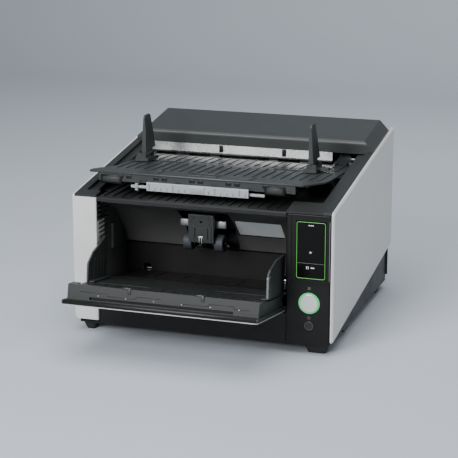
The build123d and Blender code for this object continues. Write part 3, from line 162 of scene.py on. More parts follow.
finishLooks = {
    "satinSilver": dict(colour=(0.635, 0.63, 0.62), spread=0.025, fleck=0.10, rough=(0.36, 0.44),
                        metallic=0.08,
                        grainScale=2600.0, bump=0.05, specular=0.5),
    "silverSkin": dict(colour=(0.46, 0.46, 0.46), spread=0.03, fleck=0.10, rough=(0.32, 0.4),
                       metallic=0.3,
                       grainScale=2600.0, bump=0.05),
    "charcoalShell": dict(colour=(0.026, 0.031, 0.031), spread=0.08, fleck=0.30, rough=(0.40, 0.48),
                          bump=0.22,
                          grainScale=1700.0, specular=0.55),
    "charcoalTray": dict(colour=(0.022, 0.026, 0.026), spread=0.10, fleck=0.35, rough=(0.38, 0.50),
                         bump=0.25,
                         grainScale=1500.0),
    "deepBlack": dict(colour=(0.0055, 0.0055, 0.0052), spread=0.12, fleck=0.30, rough=(0.34, 0.46),
                      bump=0.18,
                      grainScale=1500.0, specular=0.28),
    # painted light: a lighter copy of the charcoal shell for the throat wall, standing in for the light it catches
    "throatCharcoalPaintedLight": dict(colour=(0.070, 0.072, 0.070), spread=0.10, fleck=0.30, rough=(0.42, 0.52),
                        bump=0.2,
                        grainScale=1500.0),
    "shelfBlack": dict(colour=(0.010, 0.011, 0.011), spread=0.10, fleck=0.35, rough=(0.36, 0.46),
                       bump=0.22,
                       grainScale=1500.0, specular=0.35),
    "columnBlack": dict(colour=(0.0060, 0.0060, 0.0055), spread=0.08, fleck=0.15,
                        rough=(0.40, 0.46), bump=0.10,
                        grainScale=1900.0, specular=0.24),
    "screenGlass": dict(colour=(0.003, 0.0028, 0.0026), spread=0.2, fleck=0.1, rough=(0.10, 0.14),
                        bump=0.01,
                        specular=0.12),
    "greenGlow": dict(colour=(0.02, 0.30, 0.08), spread=0.08, rough=(0.3, 0.4),
                      glow=(0.02, 0.62, 0.14),
                      glowStrength=0.9),
    "outlineGlow": dict(colour=(0.05, 0.30, 0.06), spread=0.08, rough=(0.3, 0.4),
                        glow=(0.13, 0.55, 0.08),
                        glowStrength=0.8),
    "markGlow": dict(colour=(0.5, 0.52, 0.52), spread=0.05, rough=(0.4, 0.5),
                     glow=(0.72, 0.78, 0.76),
                     glowStrength=0.75),
    # grey for the printed marks, also used for the painted highlight on the column's bezel edge
    "printGrey": dict(colour=(0.16, 0.17, 0.17), spread=0.06, rough=(0.5, 0.6), bump=0.05),
    "buttonSilver": dict(colour=(0.64, 0.64, 0.62), spread=0.03, fleck=0.08, rough=(0.30, 0.38),
                         metallic=0.55,
                         grainScale=2800.0, bump=0.05),
    "buttonBlack": dict(colour=(0.008, 0.008, 0.008), spread=0.15, rough=(0.28, 0.36), bump=0.05),
    "footRubber": dict(colour=(0.012, 0.012, 0.012), spread=0.2, fleck=0.4, rough=(0.62, 0.8),
                       bump=0.4,
                       grainScale=900.0),
    "tyreRubber": dict(colour=(0.045, 0.052, 0.065), spread=0.14, fleck=0.35, rough=(0.52, 0.68),
                       bump=0.35,
                       grainScale=1100.0),
    "shaftSteel": dict(colour=(0.52, 0.52, 0.51), spread=0.06, fleck=0.25, rough=(0.20, 0.34),
                       metallic=1.0,
                       stretch=(0.06, 1.0, 1.0), grainScale=1600.0, bump=0.08),
    "zincSheet": dict(colour=(0.36, 0.37, 0.37), spread=0.16, fleck=0.3, rough=(0.32, 0.5),
                      metallic=0.9,
                      cloudScale=60.0, grainScale=700.0, bump=0.08),
    "scaleGrey": dict(colour=(0.36, 0.39, 0.40), spread=0.04, fleck=0.12, rough=(0.42, 0.5),
                      bump=0.10,
                      grainScale=1700.0),
    "leverGrey": dict(colour=(0.15, 0.165, 0.17), spread=0.05, fleck=0.12, rough=(0.42, 0.5),
                      bump=0.08),
    "flangeBlack": dict(colour=(0.016, 0.018, 0.018), spread=0.08, fleck=0.30, rough=(0.40, 0.48),
                        bump=0.22,
                        grainScale=1700.0, specular=0.45),
    "doorCharcoal": dict(colour=(0.0135, 0.0158, 0.0160), spread=0.10, fleck=0.35,
                         rough=(0.38, 0.50), bump=0.25,
                         grainScale=1500.0, specular=0.42),
    # light grey of the labels, brightened further as painted light to lift the throat plate out of the shade of
    # its recess
    "labelGrey": dict(colour=(0.62, 0.66, 0.67), spread=0.05, fleck=0.12, rough=(0.45, 0.55),
                      bump=0.08),
    "boardGreen": dict(colour=(0.015, 0.10, 0.045), spread=0.15, fleck=0.35, rough=(0.3, 0.42),
                       grainScale=420.0,
                       bump=0.1, coat=0.3),
    "motorGrey": dict(colour=(0.05, 0.052, 0.056), spread=0.12, fleck=0.3, rough=(0.4, 0.55),
                      metallic=0.5,
                      bump=0.15),
    "gearAcetal": dict(colour=(0.62, 0.60, 0.54), spread=0.05, fleck=0.1, rough=(0.35, 0.45),
                       bump=0.06),
    "scanGlass": dict(colour=(0.70, 0.78, 0.78), spread=0.03, fleck=0.05, rough=(0.04, 0.07),
                      bump=0.005,
                      transmission=0.85),
    "beltRubber": dict(colour=(0.012, 0.012, 0.013), spread=0.2, fleck=0.4, rough=(0.6, 0.75),
                       bump=0.4,
                       grainScale=1300.0),
    "brightStrip": dict(colour=(0.72, 0.74, 0.74), spread=0.08, fleck=0.30, rough=(0.22, 0.36),
                        metallic=0.75,
                        stretch=(0.05, 1.0, 1.0), grainScale=1500.0, bump=0.12),
}
for finishName, look in finishLooks.items():
    makeFinish(finishName, look)
print("finishes made:", len(finishes))

slotFinish = {
    "silver_panel": "satinSilver", "silver_skin": "silverSkin", "charcoal": "charcoalShell",
    "black": "deepBlack",
    "black_column": "columnBlack", "inner_black": "deepBlack", "screen": "screenGlass",
    "ring_green": "greenGlow",
    "button_silver": "buttonSilver", "button_black": "buttonBlack", "rubber": "footRubber",
    "tyre_grey": "tyreRubber", "steel": "shaftSteel", "zinc": "zincSheet", "grey_bar": "scaleGrey",
    # the label grey carries painted light as well as the labels' own light grey
    "label_grey": "labelGrey", "board_green": "boardGreen", "motor_grey": "motorGrey",
    "gear_white": "gearAcetal",
    "clear_glass": "scanGlass", "belt": "beltRubber", "brush": "brightStrip",
}
nodeFinish = {"hopper_tray": "doorCharcoal", "stacker_tray": "charcoalTray",
              "stacker_deck": "shelfBlack",
              # the throat cover takes the lighter charcoal, painted light on the throat wall
              "throat_cover": "throatCharcoalPaintedLight", "pick_housing": "charcoalTray",
              "guide_release_lever": "leverGrey",
              "base_pan": "deepBlack", "top_frame": "flangeBlack"}
for part in frame["record"]["subparts"]:
    cadNode = frame["nodes"][part["node"]]
    finishName = nodeFinish.get(part["node"], slotFinish[part["material_slot"]])
    if not cadNode.material_slots:
        cadNode.data.materials.append(finishes[finishName])
    for holder in cadNode.material_slots:
        holder.material = finishes[finishName]
print("cad nodes dressed")



def addPiece(name, points, faces, finish, body, sharp=35.0):
    # one mesh at the origin, shaded smooth up to the sharp angle, riding on a body
    mesh = bpy.data.meshes.new(name)
    mesh.from_pydata(np.asarray(points, float).reshape(-1, 3).tolist(), [], faces)
    mesh.update()
    mesh.polygons.foreach_set("use_smooth", np.ones(len(mesh.polygons), bool))
    mesh.set_sharp_from_angle(angle=math.radians(sharp))
    mesh.materials.append(finishes[finish])
    piece = bpy.data.objects.new(name, mesh)
    bpy.context.scene.collection.objects.link(piece)
    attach(piece, body)
    return piece


def ringFaces(rings, around, start=0, closedEnds=True, closedRound=True):
    # quads between neighbouring rings, and a flat cap over each end
    step = np.arange(around if closedRound else around - 1)
    after = (step + 1) % around
    faces = []
    for ring in range(rings - 1):
        a, b = start + ring * around, start + (ring + 1) * around
        faces += np.stack([a + step, a + after, b + after, b + step], 1).tolist()
    if closedEnds:
        faces.append((start + np.arange(around)[::-1]).tolist())
        faces.append((start + (rings - 1) * around + np.arange(around)).tolist())
    return faces


def softBars(name, lows, highs, axes, finish, body, slotName, soft=0.6, along=0):
    # Each bar is a rounded rectangle carried along one axis: the corner points are
    # centre + (half - soft) * sign + soft * (cos, sin), and both end rings are drawn in by soft.
    lows, highs = np.atleast_2d(np.asarray(lows, float)), np.atleast_2d(np.asarray(highs, float))
    lows, highs = np.minimum(lows, highs), np.maximum(lows, highs)
    first, second = [(1, 2), (2, 0), (0, 1)][along]
    quarter = np.radians([0, 45, 90])
    turns = np.concatenate([quarter + math.pi / 2 * k for k in range(4)])
    signs = np.repeat(np.array([[1, 1], [-1, 1], [-1, -1], [1, -1]], float), 3, 0)
    size = highs - lows
    radius = np.minimum(soft, size.min(1) * 0.45)[:, None]
    half = size[:, [first, second]] / 2
    middle = (highs + lows)[:, [first, second]] / 2
    core = (half[:, None, :] - radius[:, None, :]) * signs[None]
    arc = np.stack([np.cos(turns), np.sin(turns)], 1)[None] * radius[:, None, :]
    stations = [(0.0, 0.35), (1.0, 1.0), (-1.0, 1.0), (0.0, 0.35)]
    points = np.zeros((len(lows), 4, 12, 3))
    for k, (shift, grow) in enumerate(stations):
        end = lows[:, along] if k < 2 else highs[:, along]
        points[:, k, :, along] = (end + shift * radius[:, 0])[:, None]
        flat = middle[:, None, :] + core + arc * grow
        points[:, k, :, first] = flat[:, :, 0]
        points[:, k, :, second] = flat[:, :, 1]
    faces = []
    for k in range(len(lows)):
        faces += ringFaces(4, 12, start=k * 48)
    piece = addPiece(name, toWorld(points.reshape(-1, 3), axes), faces, finish, body)
    faceOut(piece)
    return piece


def turned(name, outline, centres, axes, finish, body, axis=1, around=32, sharp=35.0,
           hollow=False):
    # A turned shape: radius(s) swept round its axis, at each centre.
    # outline is (s, radius) along the axis.
    # A hollow one has an outline that runs back to its start, so it is a ring with no caps.
    outline = np.asarray(outline, float)
    if hollow:
        outline = np.concatenate([outline, outline[:1]], 0)
    angle = np.linspace(0, 2 * math.pi, around, endpoint=False)
    first, second = [(1, 2), (2, 0), (0, 1)][axis]
    centres = np.atleast_2d(np.asarray(centres, float))
    points = np.zeros((len(centres), len(outline), around, 3))
    points[..., axis] = outline[None, :, None, 0]
    points[..., first] = outline[None, :, None, 1] * np.cos(angle)
    points[..., second] = outline[None, :, None, 1] * np.sin(angle)
    points += centres[:, None, None, :]
    faces = []
    for k in range(len(centres)):
        faces += ringFaces(len(outline), around, k * len(outline) * around, closedEnds=not hollow)
    piece = addPiece(name, toWorld(points.reshape(-1, 3), axes), faces, finish, body,
                     sharp)
    faceOut(piece)
    return piece


def wireLoop(name, path, normal, axes, thick, finish, body, closed=True, around=8):
    # A round wire along a flat path: centre + r cos(t) * sideways + r sin(t) * normal
    path = np.asarray(path, float)
    if closed:
        ahead = np.roll(path, -1, 0) - np.roll(path, 1, 0)
    else:
        ahead = np.gradient(path, axis=0)
    ahead /= np.linalg.norm(ahead, axis=1)[:, None]
    normal = np.asarray(normal, float)
    sideways = np.cross(ahead, normal)
    angle = np.linspace(0, 2 * math.pi, around, endpoint=False)
    points = (path[:, None, :] + thick * np.cos(angle)[None, :, None] * sideways[:, None, :]
              + thick * np.sin(angle)[None, :, None] * normal[None, None, :])
    if closed:
        points = np.concatenate([points, points[:1]], 0)
    faces = ringFaces(len(points), around, closedEnds=not closed)
    piece = addPiece(name, toWorld(points.reshape(-1, 3), axes), faces, finish, body,
                     60.0)
    faceOut(piece)
    return piece


def roundedPath(width, height, radius, steps=6):
    # corner arcs of a rounded rectangle, in order
    angle = np.linspace(0, math.pi / 2, steps)
    parts = []
    for k, (sx, sy) in enumerate(((1, 1), (-1, 1), (-1, -1), (1, -1))):
        turn = angle + k * math.pi / 2
        parts.append(np.stack([sx * (width / 2 - radius) + radius * np.cos(turn),
                               sy * (height / 2 - radius) + radius * np.sin(turn)], 1))
    return np.concatenate(parts)


def platePrism(name, outline, low, high, axes, finish, body, normal=1, soft=0.5):
    # a flat outline carried from low to high along one axis, its rim softened by a bevel
    outline = np.asarray(outline, float)
    first, second = [(1, 2), (0, 2), (0, 1)][normal]
    points = np.zeros((2, len(outline), 3))
    points[..., first], points[..., second] = outline[:, 0], outline[:, 1]
    points[0, :, normal], points[1, :, normal] = low, high
    world = toWorld(points.reshape(-1, 3), axes)
    piece = addPiece(name, world, ringFaces(2, len(outline)), finish, body)
    faceOut(piece)
    rim = piece.modifiers.new("softRim", "BEVEL")
    rim.width = soft * mm
    rim.segments = 2
    rim.limit_method = "ANGLE"
    return piece


def faceOut(piece):
    # turns a closed mesh's faces outwards
    work = bmesh.new()
    work.from_mesh(piece.data)
    bmesh.ops.remove_doubles(work, verts=work.verts, dist=1e-7)
    bmesh.ops.recalc_face_normals(work, faces=work.faces)
    work.to_mesh(piece.data)
    work.free()
    piece.data.set_sharp_from_angle(angle=math.radians(35))


def bars(x, depth, height):
    # low and high corners of a set of bars; any bound may be an array, one value for each bar
    low = np.stack(np.broadcast_arrays(*[np.asarray(v[0], float) for v in (x, depth, height)]), -1)
    high = np.stack(np.broadcast_arrays(*[np.asarray(v[1], float) for v in (x, depth, height)]), -1)
    return low.reshape(-1, 3), high.reshape(-1, 3)


def centred(middles, width):
    middles, width = np.asarray(middles, float), np.asarray(width, float)
    return middles - width / 2, middles + width / 2


# control column: screen outline, divider, icons, key marks
screenLow, screenHigh = span("touch_screen")
screen = dict(inset=1.5, corner=3.0, wire=0.35, dividerUp=0.297)
screenMid = (screenLow + screenHigh) / 2
screenSize = screenHigh - screenLow
glassFace = screenLow[1]
outline = roundedPath(min(screenSize[0], 50.7) - 2 * screen["inset"],
                      min(screenSize[2], 97.2) - 2 * screen["inset"],
                      screen["corner"])
outlinePath = np.stack([outline[:, 0] + screenMid[0], np.full(len(outline), glassFace - 0.1),
                        outline[:, 1] + screenMid[2]], 1)
wireLoop("screenOutline", outlinePath, (0, 1, 0), houseAxes, screen["wire"], "outlineGlow",
         "housing")
dividerHeight = screenLow[2] + screenSize[2] * screen["dividerUp"]
softBars("screenDivider", *bars((screenMid[0] - 22, screenMid[0] + 22),
                                (glassFace - 0.25, glassFace + 0.1),
         centred([dividerHeight], 0.5)), houseAxes, "printGrey", "housing", "screen", 0.1)
screenMarks = dict(top=42.0, arrow=3.0, pauseDrop=7.5)
softBars("screenTitle", *bars(centred(screenMid[0] + np.array([-3.2, 0.2, 3.4]), (2.4, 3.0, 1.8)),
         (glassFace - 0.2, glassFace + 0.1), centred([screenMid[2] + screenMarks["top"]], 1.3)),
         houseAxes,
         "markGlow", "housing", "screen", 0.2)
arrow = np.array([[-0.9, -1.0], [0.9, 0.0], [-0.9, 1.0]]) * screenMarks["arrow"] * 0.6
platePrism("screenArrow", arrow + [screenMid[0], screenMid[2] - 3.0], glassFace - 0.2,
           glassFace + 0.1, houseAxes,
           "markGlow", "housing", soft=0.03)
softBars("screenPause", *bars(centred(screenMid[0] + np.array([-7.0, -4.2, 3.0]), (1.1, 1.1, 6.0)),
         (glassFace - 0.2, glassFace + 0.1), centred([dividerHeight - screenMarks["pauseDrop"]] * 3,
         (4.6, 4.6, 1.6))), houseAxes, "markGlow", "housing", "screen", 0.2)
# painted highlight: a lighter grey bar down the column's right edge stands in for light on the bezel's bevel
bezelHighlight = dict(left=222.1, right=223.1)
softBars("paintedBezelHighlight", *bars((bezelHighlight["left"], bezelHighlight["right"]), (0.35, 1.1),
                            (screenLow[2] + 3, screenHigh[2] - 3)), houseAxes,
         "printGrey", "housing", "black_column", 0.3)

scanLow, scanHigh = span("scan_button")
powerLow, powerHigh = span("power_button")
scanMid, powerMid = (scanLow + scanHigh) / 2, (powerLow + powerHigh) / 2
columnFace = span("control_column")[0][1]
scanMark = dict(above=23.5, sheet=5.0, lineGap=1.7)
softBars("scanMark", *bars(centred([scanMid[0]] * 3, scanMark["sheet"]),
                           (columnFace - 0.2, columnFace + 0.1),
         centred(scanMid[2] + scanMark["above"] + scanMark["lineGap"] * np.arange(3), 0.6)),
         houseAxes,
         "printGrey", "housing", "black_column", 0.12)
arcAngle = np.radians(np.linspace(125, 415, 25))
powerMark = dict(above=14.0, radius=2.3)
powerPath = np.stack([powerMid[0] + powerMark["radius"] * np.cos(arcAngle),
                      np.full(25, columnFace - 0.05),
                      powerMid[2] + powerMark["above"] + powerMark["radius"] * np.sin(arcAngle)], 1)
wireLoop("powerMark", powerPath, (0, 1, 0), houseAxes, 0.28, "printGrey", "housing",
         closed=False)
softBars("powerStroke", *bars(centred([powerMid[0]], 0.55), (columnFace - 0.25, columnFace + 0.1),
         (powerMid[2] + powerMark["above"] + 0.2, powerMid[2] + powerMark["above"] + 2.9)),
         houseAxes, "printGrey",
         "housing", "black_column", 0.12)
turned("scanDot", [(-0.25, 0.2), (-0.25, 0.9), (0.1, 1.1)], [scanMid[0], scanLow[1], scanMid[2]],
       houseAxes,
       "greenGlow", "button_scan", around=20)
turned("powerRim", [(-0.2, 6.7), (-0.35, 6.9), (-0.2, 7.1), (0.1, 6.9)],
       [powerMid[0], powerLow[1], powerMid[2]],
       houseAxes, "printGrey", "button_power", around=40, hollow=True)
print("control column dressed")

# delivery tray: scale on the grey bar, front windows, framed blocks, stopper frame
scaleBar = dict(ticks=17, tall=4, tickWide=0.9, hubWide=26.0, ribs=9, first=-104.0, last=67.0,
                middle=-18.5,
                markLow=249.5, shortTop=254.5, tallTop=260.5)
ticks = np.linspace(scaleBar["first"], scaleBar["last"], scaleBar["ticks"])
ticks = ticks[np.abs(ticks - scaleBar["middle"]) > scaleBar["hubWide"] / 2 + 2]
tickTop = np.where(np.arange(len(ticks)) % scaleBar["tall"] == 0, scaleBar["tallTop"],
                   scaleBar["shortTop"])
softBars("scaleTicks", *bars(centred(ticks, scaleBar["tickWide"]), (38.15, 38.6),
                             (scaleBar["markLow"], tickTop)), houseAxes,
         "deepBlack", "stacker", "grey_bar", 0.15)
softBars("scaleHub", *bars(centred([scaleBar["middle"]], scaleBar["hubWide"]), (36.2, 38.6),
         (248.5, 261.5)), houseAxes, "scaleGrey", "stacker", "grey_bar", 0.8)
softBars("scaleHubRibs", *bars(centred(scaleBar["middle"] + np.linspace(-9.6, 9.6,
                                                                        scaleBar["ribs"]), 1.0),
                               (35.4, 36.4),
         (250.5, 259.5)), houseAxes, "scaleGrey", "stacker", "grey_bar", 0.4)
trayFront = dict(windows=5, pair=15.0, windowWide=9.5, lipLeft=-213.0, lipRight=161.0)
softBars("trayLip", *bars((trayFront["lipLeft"], trayFront["lipRight"]), (-1.0, 2.6), (-2.9, 0.7)),
         trayAxes,
         "charcoalShell", "stacker", "charcoal", 1.5)
pairs = np.linspace(-150.0, 108.0, trayFront["windows"])
windowX = np.concatenate([pairs - trayFront["pair"] / 2, pairs + trayFront["pair"] / 2])
softBars("trayWindows", *bars(centred(windowX, trayFront["windowWide"]), (41.6, 43.0),
                              (266.2, 271.0)), houseAxes,
         "deepBlack", "stacker", "charcoal", 0.4)
softBars("trayWindowBrows", *bars(centred(windowX, trayFront["windowWide"] + 1.6), (40.9, 42.8),
                                  (271.0, 272.3)),
         houseAxes, "charcoalShell", "stacker", "charcoal", 0.4)
blockX = (np.array([-194.0, 99.0]), np.array([-155.0, 135.0]))
softBars("trayEndBlocks", *bars(blockX, (40.6, 43.2), (255.5, 270.5)), houseAxes, "deepBlack",
         "stacker",
         "charcoal", 1.2)
softBars("trayEndFrames", *bars((blockX[0] + 4, blockX[1] - 4), (40.0, 41.0), (258.5, 267.5)),
         houseAxes,
         "charcoalTray", "stacker", "charcoal", 0.8)
seamX = np.array([-96.0, -92.6, 69.0, 72.4])
softBars("trayJoints", *bars(centred(seamX, 0.9), (4.0, 46.0), (-0.4, 0.5)), trayAxes, "deepBlack",
         "stacker",
         "charcoal", 0.3)
stopperLow, stopperHigh = span("stacker_stopper")
stopperLook = dict(ribs=9, frame=3.0, rise=1.3, near=17.0, far=42.0)
left, rightEdge = stopperLow[0] + 3, stopperHigh[0] - 3
softBars("stopperFrame", *bars((np.array([left, left, left, rightEdge - stopperLook["frame"]]),
         np.array([rightEdge, rightEdge, left + stopperLook["frame"], rightEdge])),
         (np.array([stopperLook["near"], stopperLook["far"] - 2.5, stopperLook["near"],
                    stopperLook["near"]]),
          np.array([stopperLook["near"] + 2.5, stopperLook["far"], stopperLook["far"],
                    stopperLook["far"]])),
         (-0.3, stopperLook["rise"])), trayAxes, "charcoalShell", "stopper", "charcoal", 0.6)
softBars("stopperRibs", *bars(centred(np.linspace(left + 8, rightEdge - 8, stopperLook["ribs"]),
                                      1.4),
         (stopperLook["near"] + 4, stopperLook["far"] - 4), (-0.3, 0.9)), trayAxes, "charcoalTray",
         "stopper",
         "charcoal", 0.4)
print("delivery tray dressed")

# hopper door, in door axes: black lip, seams, hooked tabs and screw heads on the tray's front face
skinLow, skinHigh = span("door_skin")
doorLook = dict(frontOut=135.0, lean=2.0 / 25.5, hookX=(-79.0, 46.0), hookWide=15.0, screws=6)


def doorFace(up):
    # how far out the tray's front face stands at a height off the skin
    return doorLook["frontOut"] - doorLook["lean"] * (np.asarray(up, float) - 7.0)


softBars("doorLip", *bars((skinLow[0] + 1.0, skinHigh[0] - 1.0), (145.5, 150.7), (1.5, 8.4)),
         doorAxes, "deepBlack",
         "front_door", "black", 2.6)
seamUp = np.array([21.5, 17.5, 21.5, 17.5, 21.5, 17.5])
softBars("doorSeams", *bars((np.array([-160.0, -112, -62, 12, 62, 104]),
                             np.array([-112.0, -62, -20, 62, 104, 128])),
         (doorFace(seamUp) - 1.0, doorFace(seamUp) + 0.25), centred(seamUp, 0.8)), doorAxes,
         "deepBlack",
         "front_door", "black", 0.2)
riserX = np.array([-112.0, -62.0, 62.0, 104.0])
softBars("doorRisers", *bars(centred(riserX, 0.8), (133.0, doorFace(19.5) + 0.3), (17.5, 21.5)),
         doorAxes,
         "deepBlack", "front_door", "black", 0.2)
softBars("doorHooks", *bars(centred(doorLook["hookX"], doorLook["hookWide"]), (125.8, 134.4),
                            (31.5, 34.6)),
         doorAxes, "charcoalShell", "front_door", "charcoal", 0.9)
softBars("doorHookLegs", *bars(centred(np.array(doorLook["hookX"]) + 5.0, 5.0), (132.2, 135.3),
                               (24.0, 34.0)),
         doorAxes, "charcoalShell", "front_door", "charcoal", 0.8)
screwX = np.linspace(-128.0, 112.0, doorLook["screws"])
turned("doorScrews", [(-0.6, 1.2), (0.2, 1.2), (0.5, 0.7)],
       np.stack([screwX, np.full(len(screwX), doorFace(17.0)),
       np.full(len(screwX), 16.6)], 1), doorAxes, "zincSheet", "front_door", around=14)
print("hopper door dressed")

# picking unit: stepped seams, spring clip, bright tabs
pickLook = dict(steps=7, bottom=164.0, top=205.0, face=57.9)
stepHeights = np.linspace(pickLook["bottom"], pickLook["top"], pickLook["steps"] + 1)
wander = np.where(np.arange(pickLook["steps"]) % 2 == 0, 1.6, -1.6)
for side, seam, turnWay in (("Left", -33.5, 1.0), ("Right", -3.5, -1.0)):
    softBars("pickSeam" + side, *bars(centred(seam + turnWay * wander, 1.0),
                                      (pickLook["face"] - 0.7,
             pickLook["face"] + 0.4), (stepHeights[:-1], stepHeights[1:] + 0.6)), houseAxes,
             "charcoalShell",
             "housing", "inner_black", 0.25)
    softBars("pickStep" + side, *bars(centred(np.full(pickLook["steps"] - 1, seam), 4.2),
                                      (pickLook["face"] - 0.7,
             pickLook["face"] + 0.4), centred(stepHeights[1:-1], 1.0)), houseAxes, "charcoalShell",
             "housing",
             "inner_black", 0.25)
softBars("pickClip", *bars((np.array([-23.0, -21.5, -17.0]), np.array([-14.0, -20.0, -15.5])),
         (np.array([55.2, 54.6, 54.6]), 57.2),
         (np.array([168.0, 159.5, 159.5]), np.array([171.5, 169, 169]))),
         houseAxes, "brightStrip", "housing", "zinc", 0.5)
softBars("pickTabs", *bars((np.array([-59.2, 5.0]), np.array([-42.0, 22.2])), (69.2, 70.3),
                           (184.8, 196.2)),
         houseAxes, "zincSheet", "housing", "zinc", 0.5)
bracket = dict(ribs=8, low=168.0, high=222.0)
softBars("leftBracket", *bars((-187.5, -183.6), (9.0, 46.0),
                              centred(np.linspace(bracket["low"], bracket["high"],
         bracket["ribs"]), 2.0)), houseAxes, "charcoalTray", "housing", "inner_black", 0.6)
print("picking unit dressed")

# rear: blank rating plate, a brow over each vent slot, and a rim round the fan
rearHigh = span("rear_cover")[1]
rearFace = rearHigh[1]
vent = dict(firstTop=173.9, pitch=9.0, slots=9)
ventZ = vent["firstTop"] + vent["pitch"] * np.arange(vent["slots"])
softBars("ventBrows", *bars((98.5, 191.5), (rearFace - 0.6, rearFace + 0.7),
                            centred(ventZ + 0.4, 0.9)), houseAxes,
         "charcoalShell", "housing", "charcoal", 0.3)
ratingPlate = dict(left=-62.0, right=18.0, low=58.0, high=92.0)
# the rating plate shares the label grey, which is brightened as painted light
softBars("ratingPlate", *bars((ratingPlate["left"], ratingPlate["right"]),
                              (rearFace - 0.3, rearFace + 0.35),
         (ratingPlate["low"], ratingPlate["high"])), houseAxes,
         "labelGrey", "housing", "label_grey", 0.3)
fanMid = span("fan_rotor")
fanMid = (fanMid[0] + fanMid[1]) / 2
turned("fanRim", [(-0.4, 29.0), (0.6, 29.4), (0.6, 31.0), (-0.4, 31.4)],
       [fanMid[0], rearFace, fanMid[2]],
       houseAxes,
       "charcoalShell", "housing", around=64, hollow=True)
print("rear dressed")

# hood: bright strip with brush filaments and two black clips
brushLow, brushHigh = span("discharge_brush")
brush = dict(filaments=240, thick=0.35, droop=3.2)
filamentX = np.linspace(brushLow[0] + 1, brushHigh[0] - 1, brush["filaments"])
lengths = brush["droop"] + 0.5 * np.sin(filamentX * 1.7) + 0.3 * np.sin(filamentX * 4.3)
softBars("brushFilaments", *bars(centred(filamentX, brush["thick"]),
                                 (brushLow[1] + 0.3, brushLow[1] + 0.7),
         (brushLow[2] - lengths, brushLow[2] + 0.5)), houseAxes, "brightStrip", "hood", "brush",
         0.1)
clip = dict(places=(-60.0, 60.0), wide=7.0)
softBars("stripClips", *bars(centred(clip["places"], clip["wide"]),
                             (brushLow[1] - 1.1, brushLow[1] + 0.2),
         (brushLow[2] + 2.0, brushHigh[2] - 0.5)), houseAxes, "deepBlack", "hood", "charcoal", 0.5)
print("hood strip dressed")

# grooved lands on the picking tyres
pickLow, pickHigh = span("pick_tyres")
tyre = dict(lands=11, landWide=0.7, rise=0.14)
for side, edges in (("Left", (pickLow[0], pickLow[0] + 15)),
                    ("Right", (pickHigh[0] - 15, pickHigh[0]))):
    pickMid = (pickLow + pickHigh) / 2
    radius = (pickHigh[2] - pickLow[2]) / 2
    middles = np.linspace(edges[0] + 1.6, edges[1] - 1.6, tyre["lands"])
    half = tyre["landWide"] / 2
    turned("tyreLands" + side, [(-half, radius - 0.3), (-half * 0.6, radius + tyre["rise"]),
           (half * 0.6, radius + tyre["rise"]), (half, radius - 0.3)],
           np.stack([middles, np.full(len(middles),
           pickMid[1]), np.full(len(middles), pickMid[2])], 1), houseAxes, "tyreRubber",
           "pick_roller",
           axis=0, around=40, hollow=True)
print("picking tyres dressed")

# stage: floor sweeping up into a backdrop
stageLook = dict(half=4.2, floorBack=2.5, bend=1.1, rise=3.2, frontEdge=-3.4)
turn = np.linspace(0, math.pi / 2, 18)
sweep = np.concatenate([[[stageLook["frontEdge"], 0.0]],
                        np.stack([stageLook["floorBack"] + stageLook["bend"] * np.sin(turn),
                                  stageLook["bend"] * (1 - np.cos(turn))], 1),
                        [[stageLook["floorBack"] + stageLook["bend"], stageLook["rise"]]]])
across = np.linspace(-stageLook["half"], stageLook["half"], 9)
grid = np.zeros((len(sweep), len(across), 3))
grid[..., 0], grid[..., 1], grid[..., 2] = across[None], sweep[:, :1], sweep[:, 1:]
stageMesh = bpy.data.meshes.new("studioSweep")
sweepFaces = np.array(ringFaces(len(sweep), len(across), closedEnds=False, closedRound=False))
stageMesh.from_pydata(grid.reshape(-1, 3).tolist(), [], sweepFaces.tolist())
stageMesh.polygons.foreach_set("use_smooth", np.ones(len(stageMesh.polygons), bool))
makeFinish("studioPaper", dict(colour=(0.50, 0.545, 0.60), spread=0.01, fleck=0.04,
                               rough=(0.62, 0.7), bump=0.02,
                               cloudScale=2.0, grainScale=300.0, specular=0.25))
stageMesh.materials.append(finishes["studioPaper"])
studioSweep = bpy.data.objects.new("studioSweep", stageMesh)
bpy.context.scene.collection.objects.link(studioSweep)


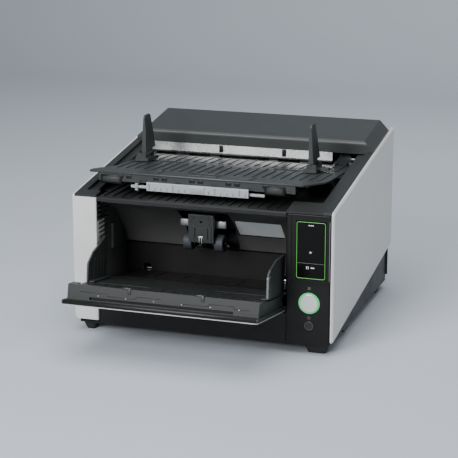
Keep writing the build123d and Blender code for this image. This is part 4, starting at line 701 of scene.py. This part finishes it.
def softLight(name, place, aim, size, power, tint=(1.0, 1.0, 1.0)):
    lamp = bpy.data.lights.new(name, "AREA")
    lamp.shape = "RECTANGLE"
    lamp.size, lamp.size_y = size
    lamp.energy = power
    lamp.color = tint
    holder = bpy.data.objects.new(name, lamp)
    bpy.context.scene.collection.objects.link(holder)
    holder.location = place
    holder.rotation_euler = (Vector(aim) - Vector(place)).to_track_quat("-Z", "Y").to_euler()


softLight("keySoftbox", (-0.7, -2.7, 1.45), (0.05, 0, 0.1), (1.5, 1.2), 92.0)
softLight("floorSoftbox", (0.2, -1.5, 2.3), (0.1, -0.9, 0.0), (2.2, 1.2), 26.0)
softLight("wallSoftbox", (0.2, 0.9, 2.5), (0.1, 3.6, 1.1), (1.2, 0.8), 30.0)
softLight("topSoftbox", (0.1, -0.1, 2.4), (0, 0.05, 0.2), (2.2, 1.8), 34.0)
softLight("rightSoftbox", (2.6, -0.5, 1.3), (0, 0, 0.15), (1.4, 1.4), 15.0)
world = bpy.data.worlds.new("studioAir")
world.use_nodes = True
world.node_tree.nodes["Background"].inputs["Color"].default_value = (0.86, 0.92, 1.0, 1)
world.node_tree.nodes["Background"].inputs["Strength"].default_value = 0.16
bpy.context.scene.world = world

# camera: turned to the right of the front and looking down on it
cameraLook = dict(azimuth=18.65, elevation=14.44, distance=2.66344, right=-0.01998, up=-0.00288,
                  lens=116.5)
turnRight, lookDown = math.radians(cameraLook["azimuth"]), math.radians(cameraLook["elevation"])
back = Vector((math.sin(turnRight) * math.cos(lookDown), -math.cos(turnRight) * math.cos(lookDown),
               math.sin(lookDown)))
right = Vector((math.cos(turnRight), math.sin(turnRight), 0.0))
upward = back.cross(right)
cameraData = bpy.data.cameras.new("viewCamera")
cameraData.lens, cameraData.sensor_width = cameraLook["lens"], 36.0
viewCamera = bpy.data.objects.new("viewCamera", cameraData)
bpy.context.scene.collection.objects.link(viewCamera)
viewCamera.location = (Vector((0.0, 0.215 + frontY * mm, 0.150)) + back * cameraLook["distance"]
                       + right * cameraLook["right"] + upward * cameraLook["up"])
viewCamera.rotation_euler = back.to_track_quat("Z", "Y").to_euler()
bpy.context.scene.camera = viewCamera
print("stage, lights and camera placed")
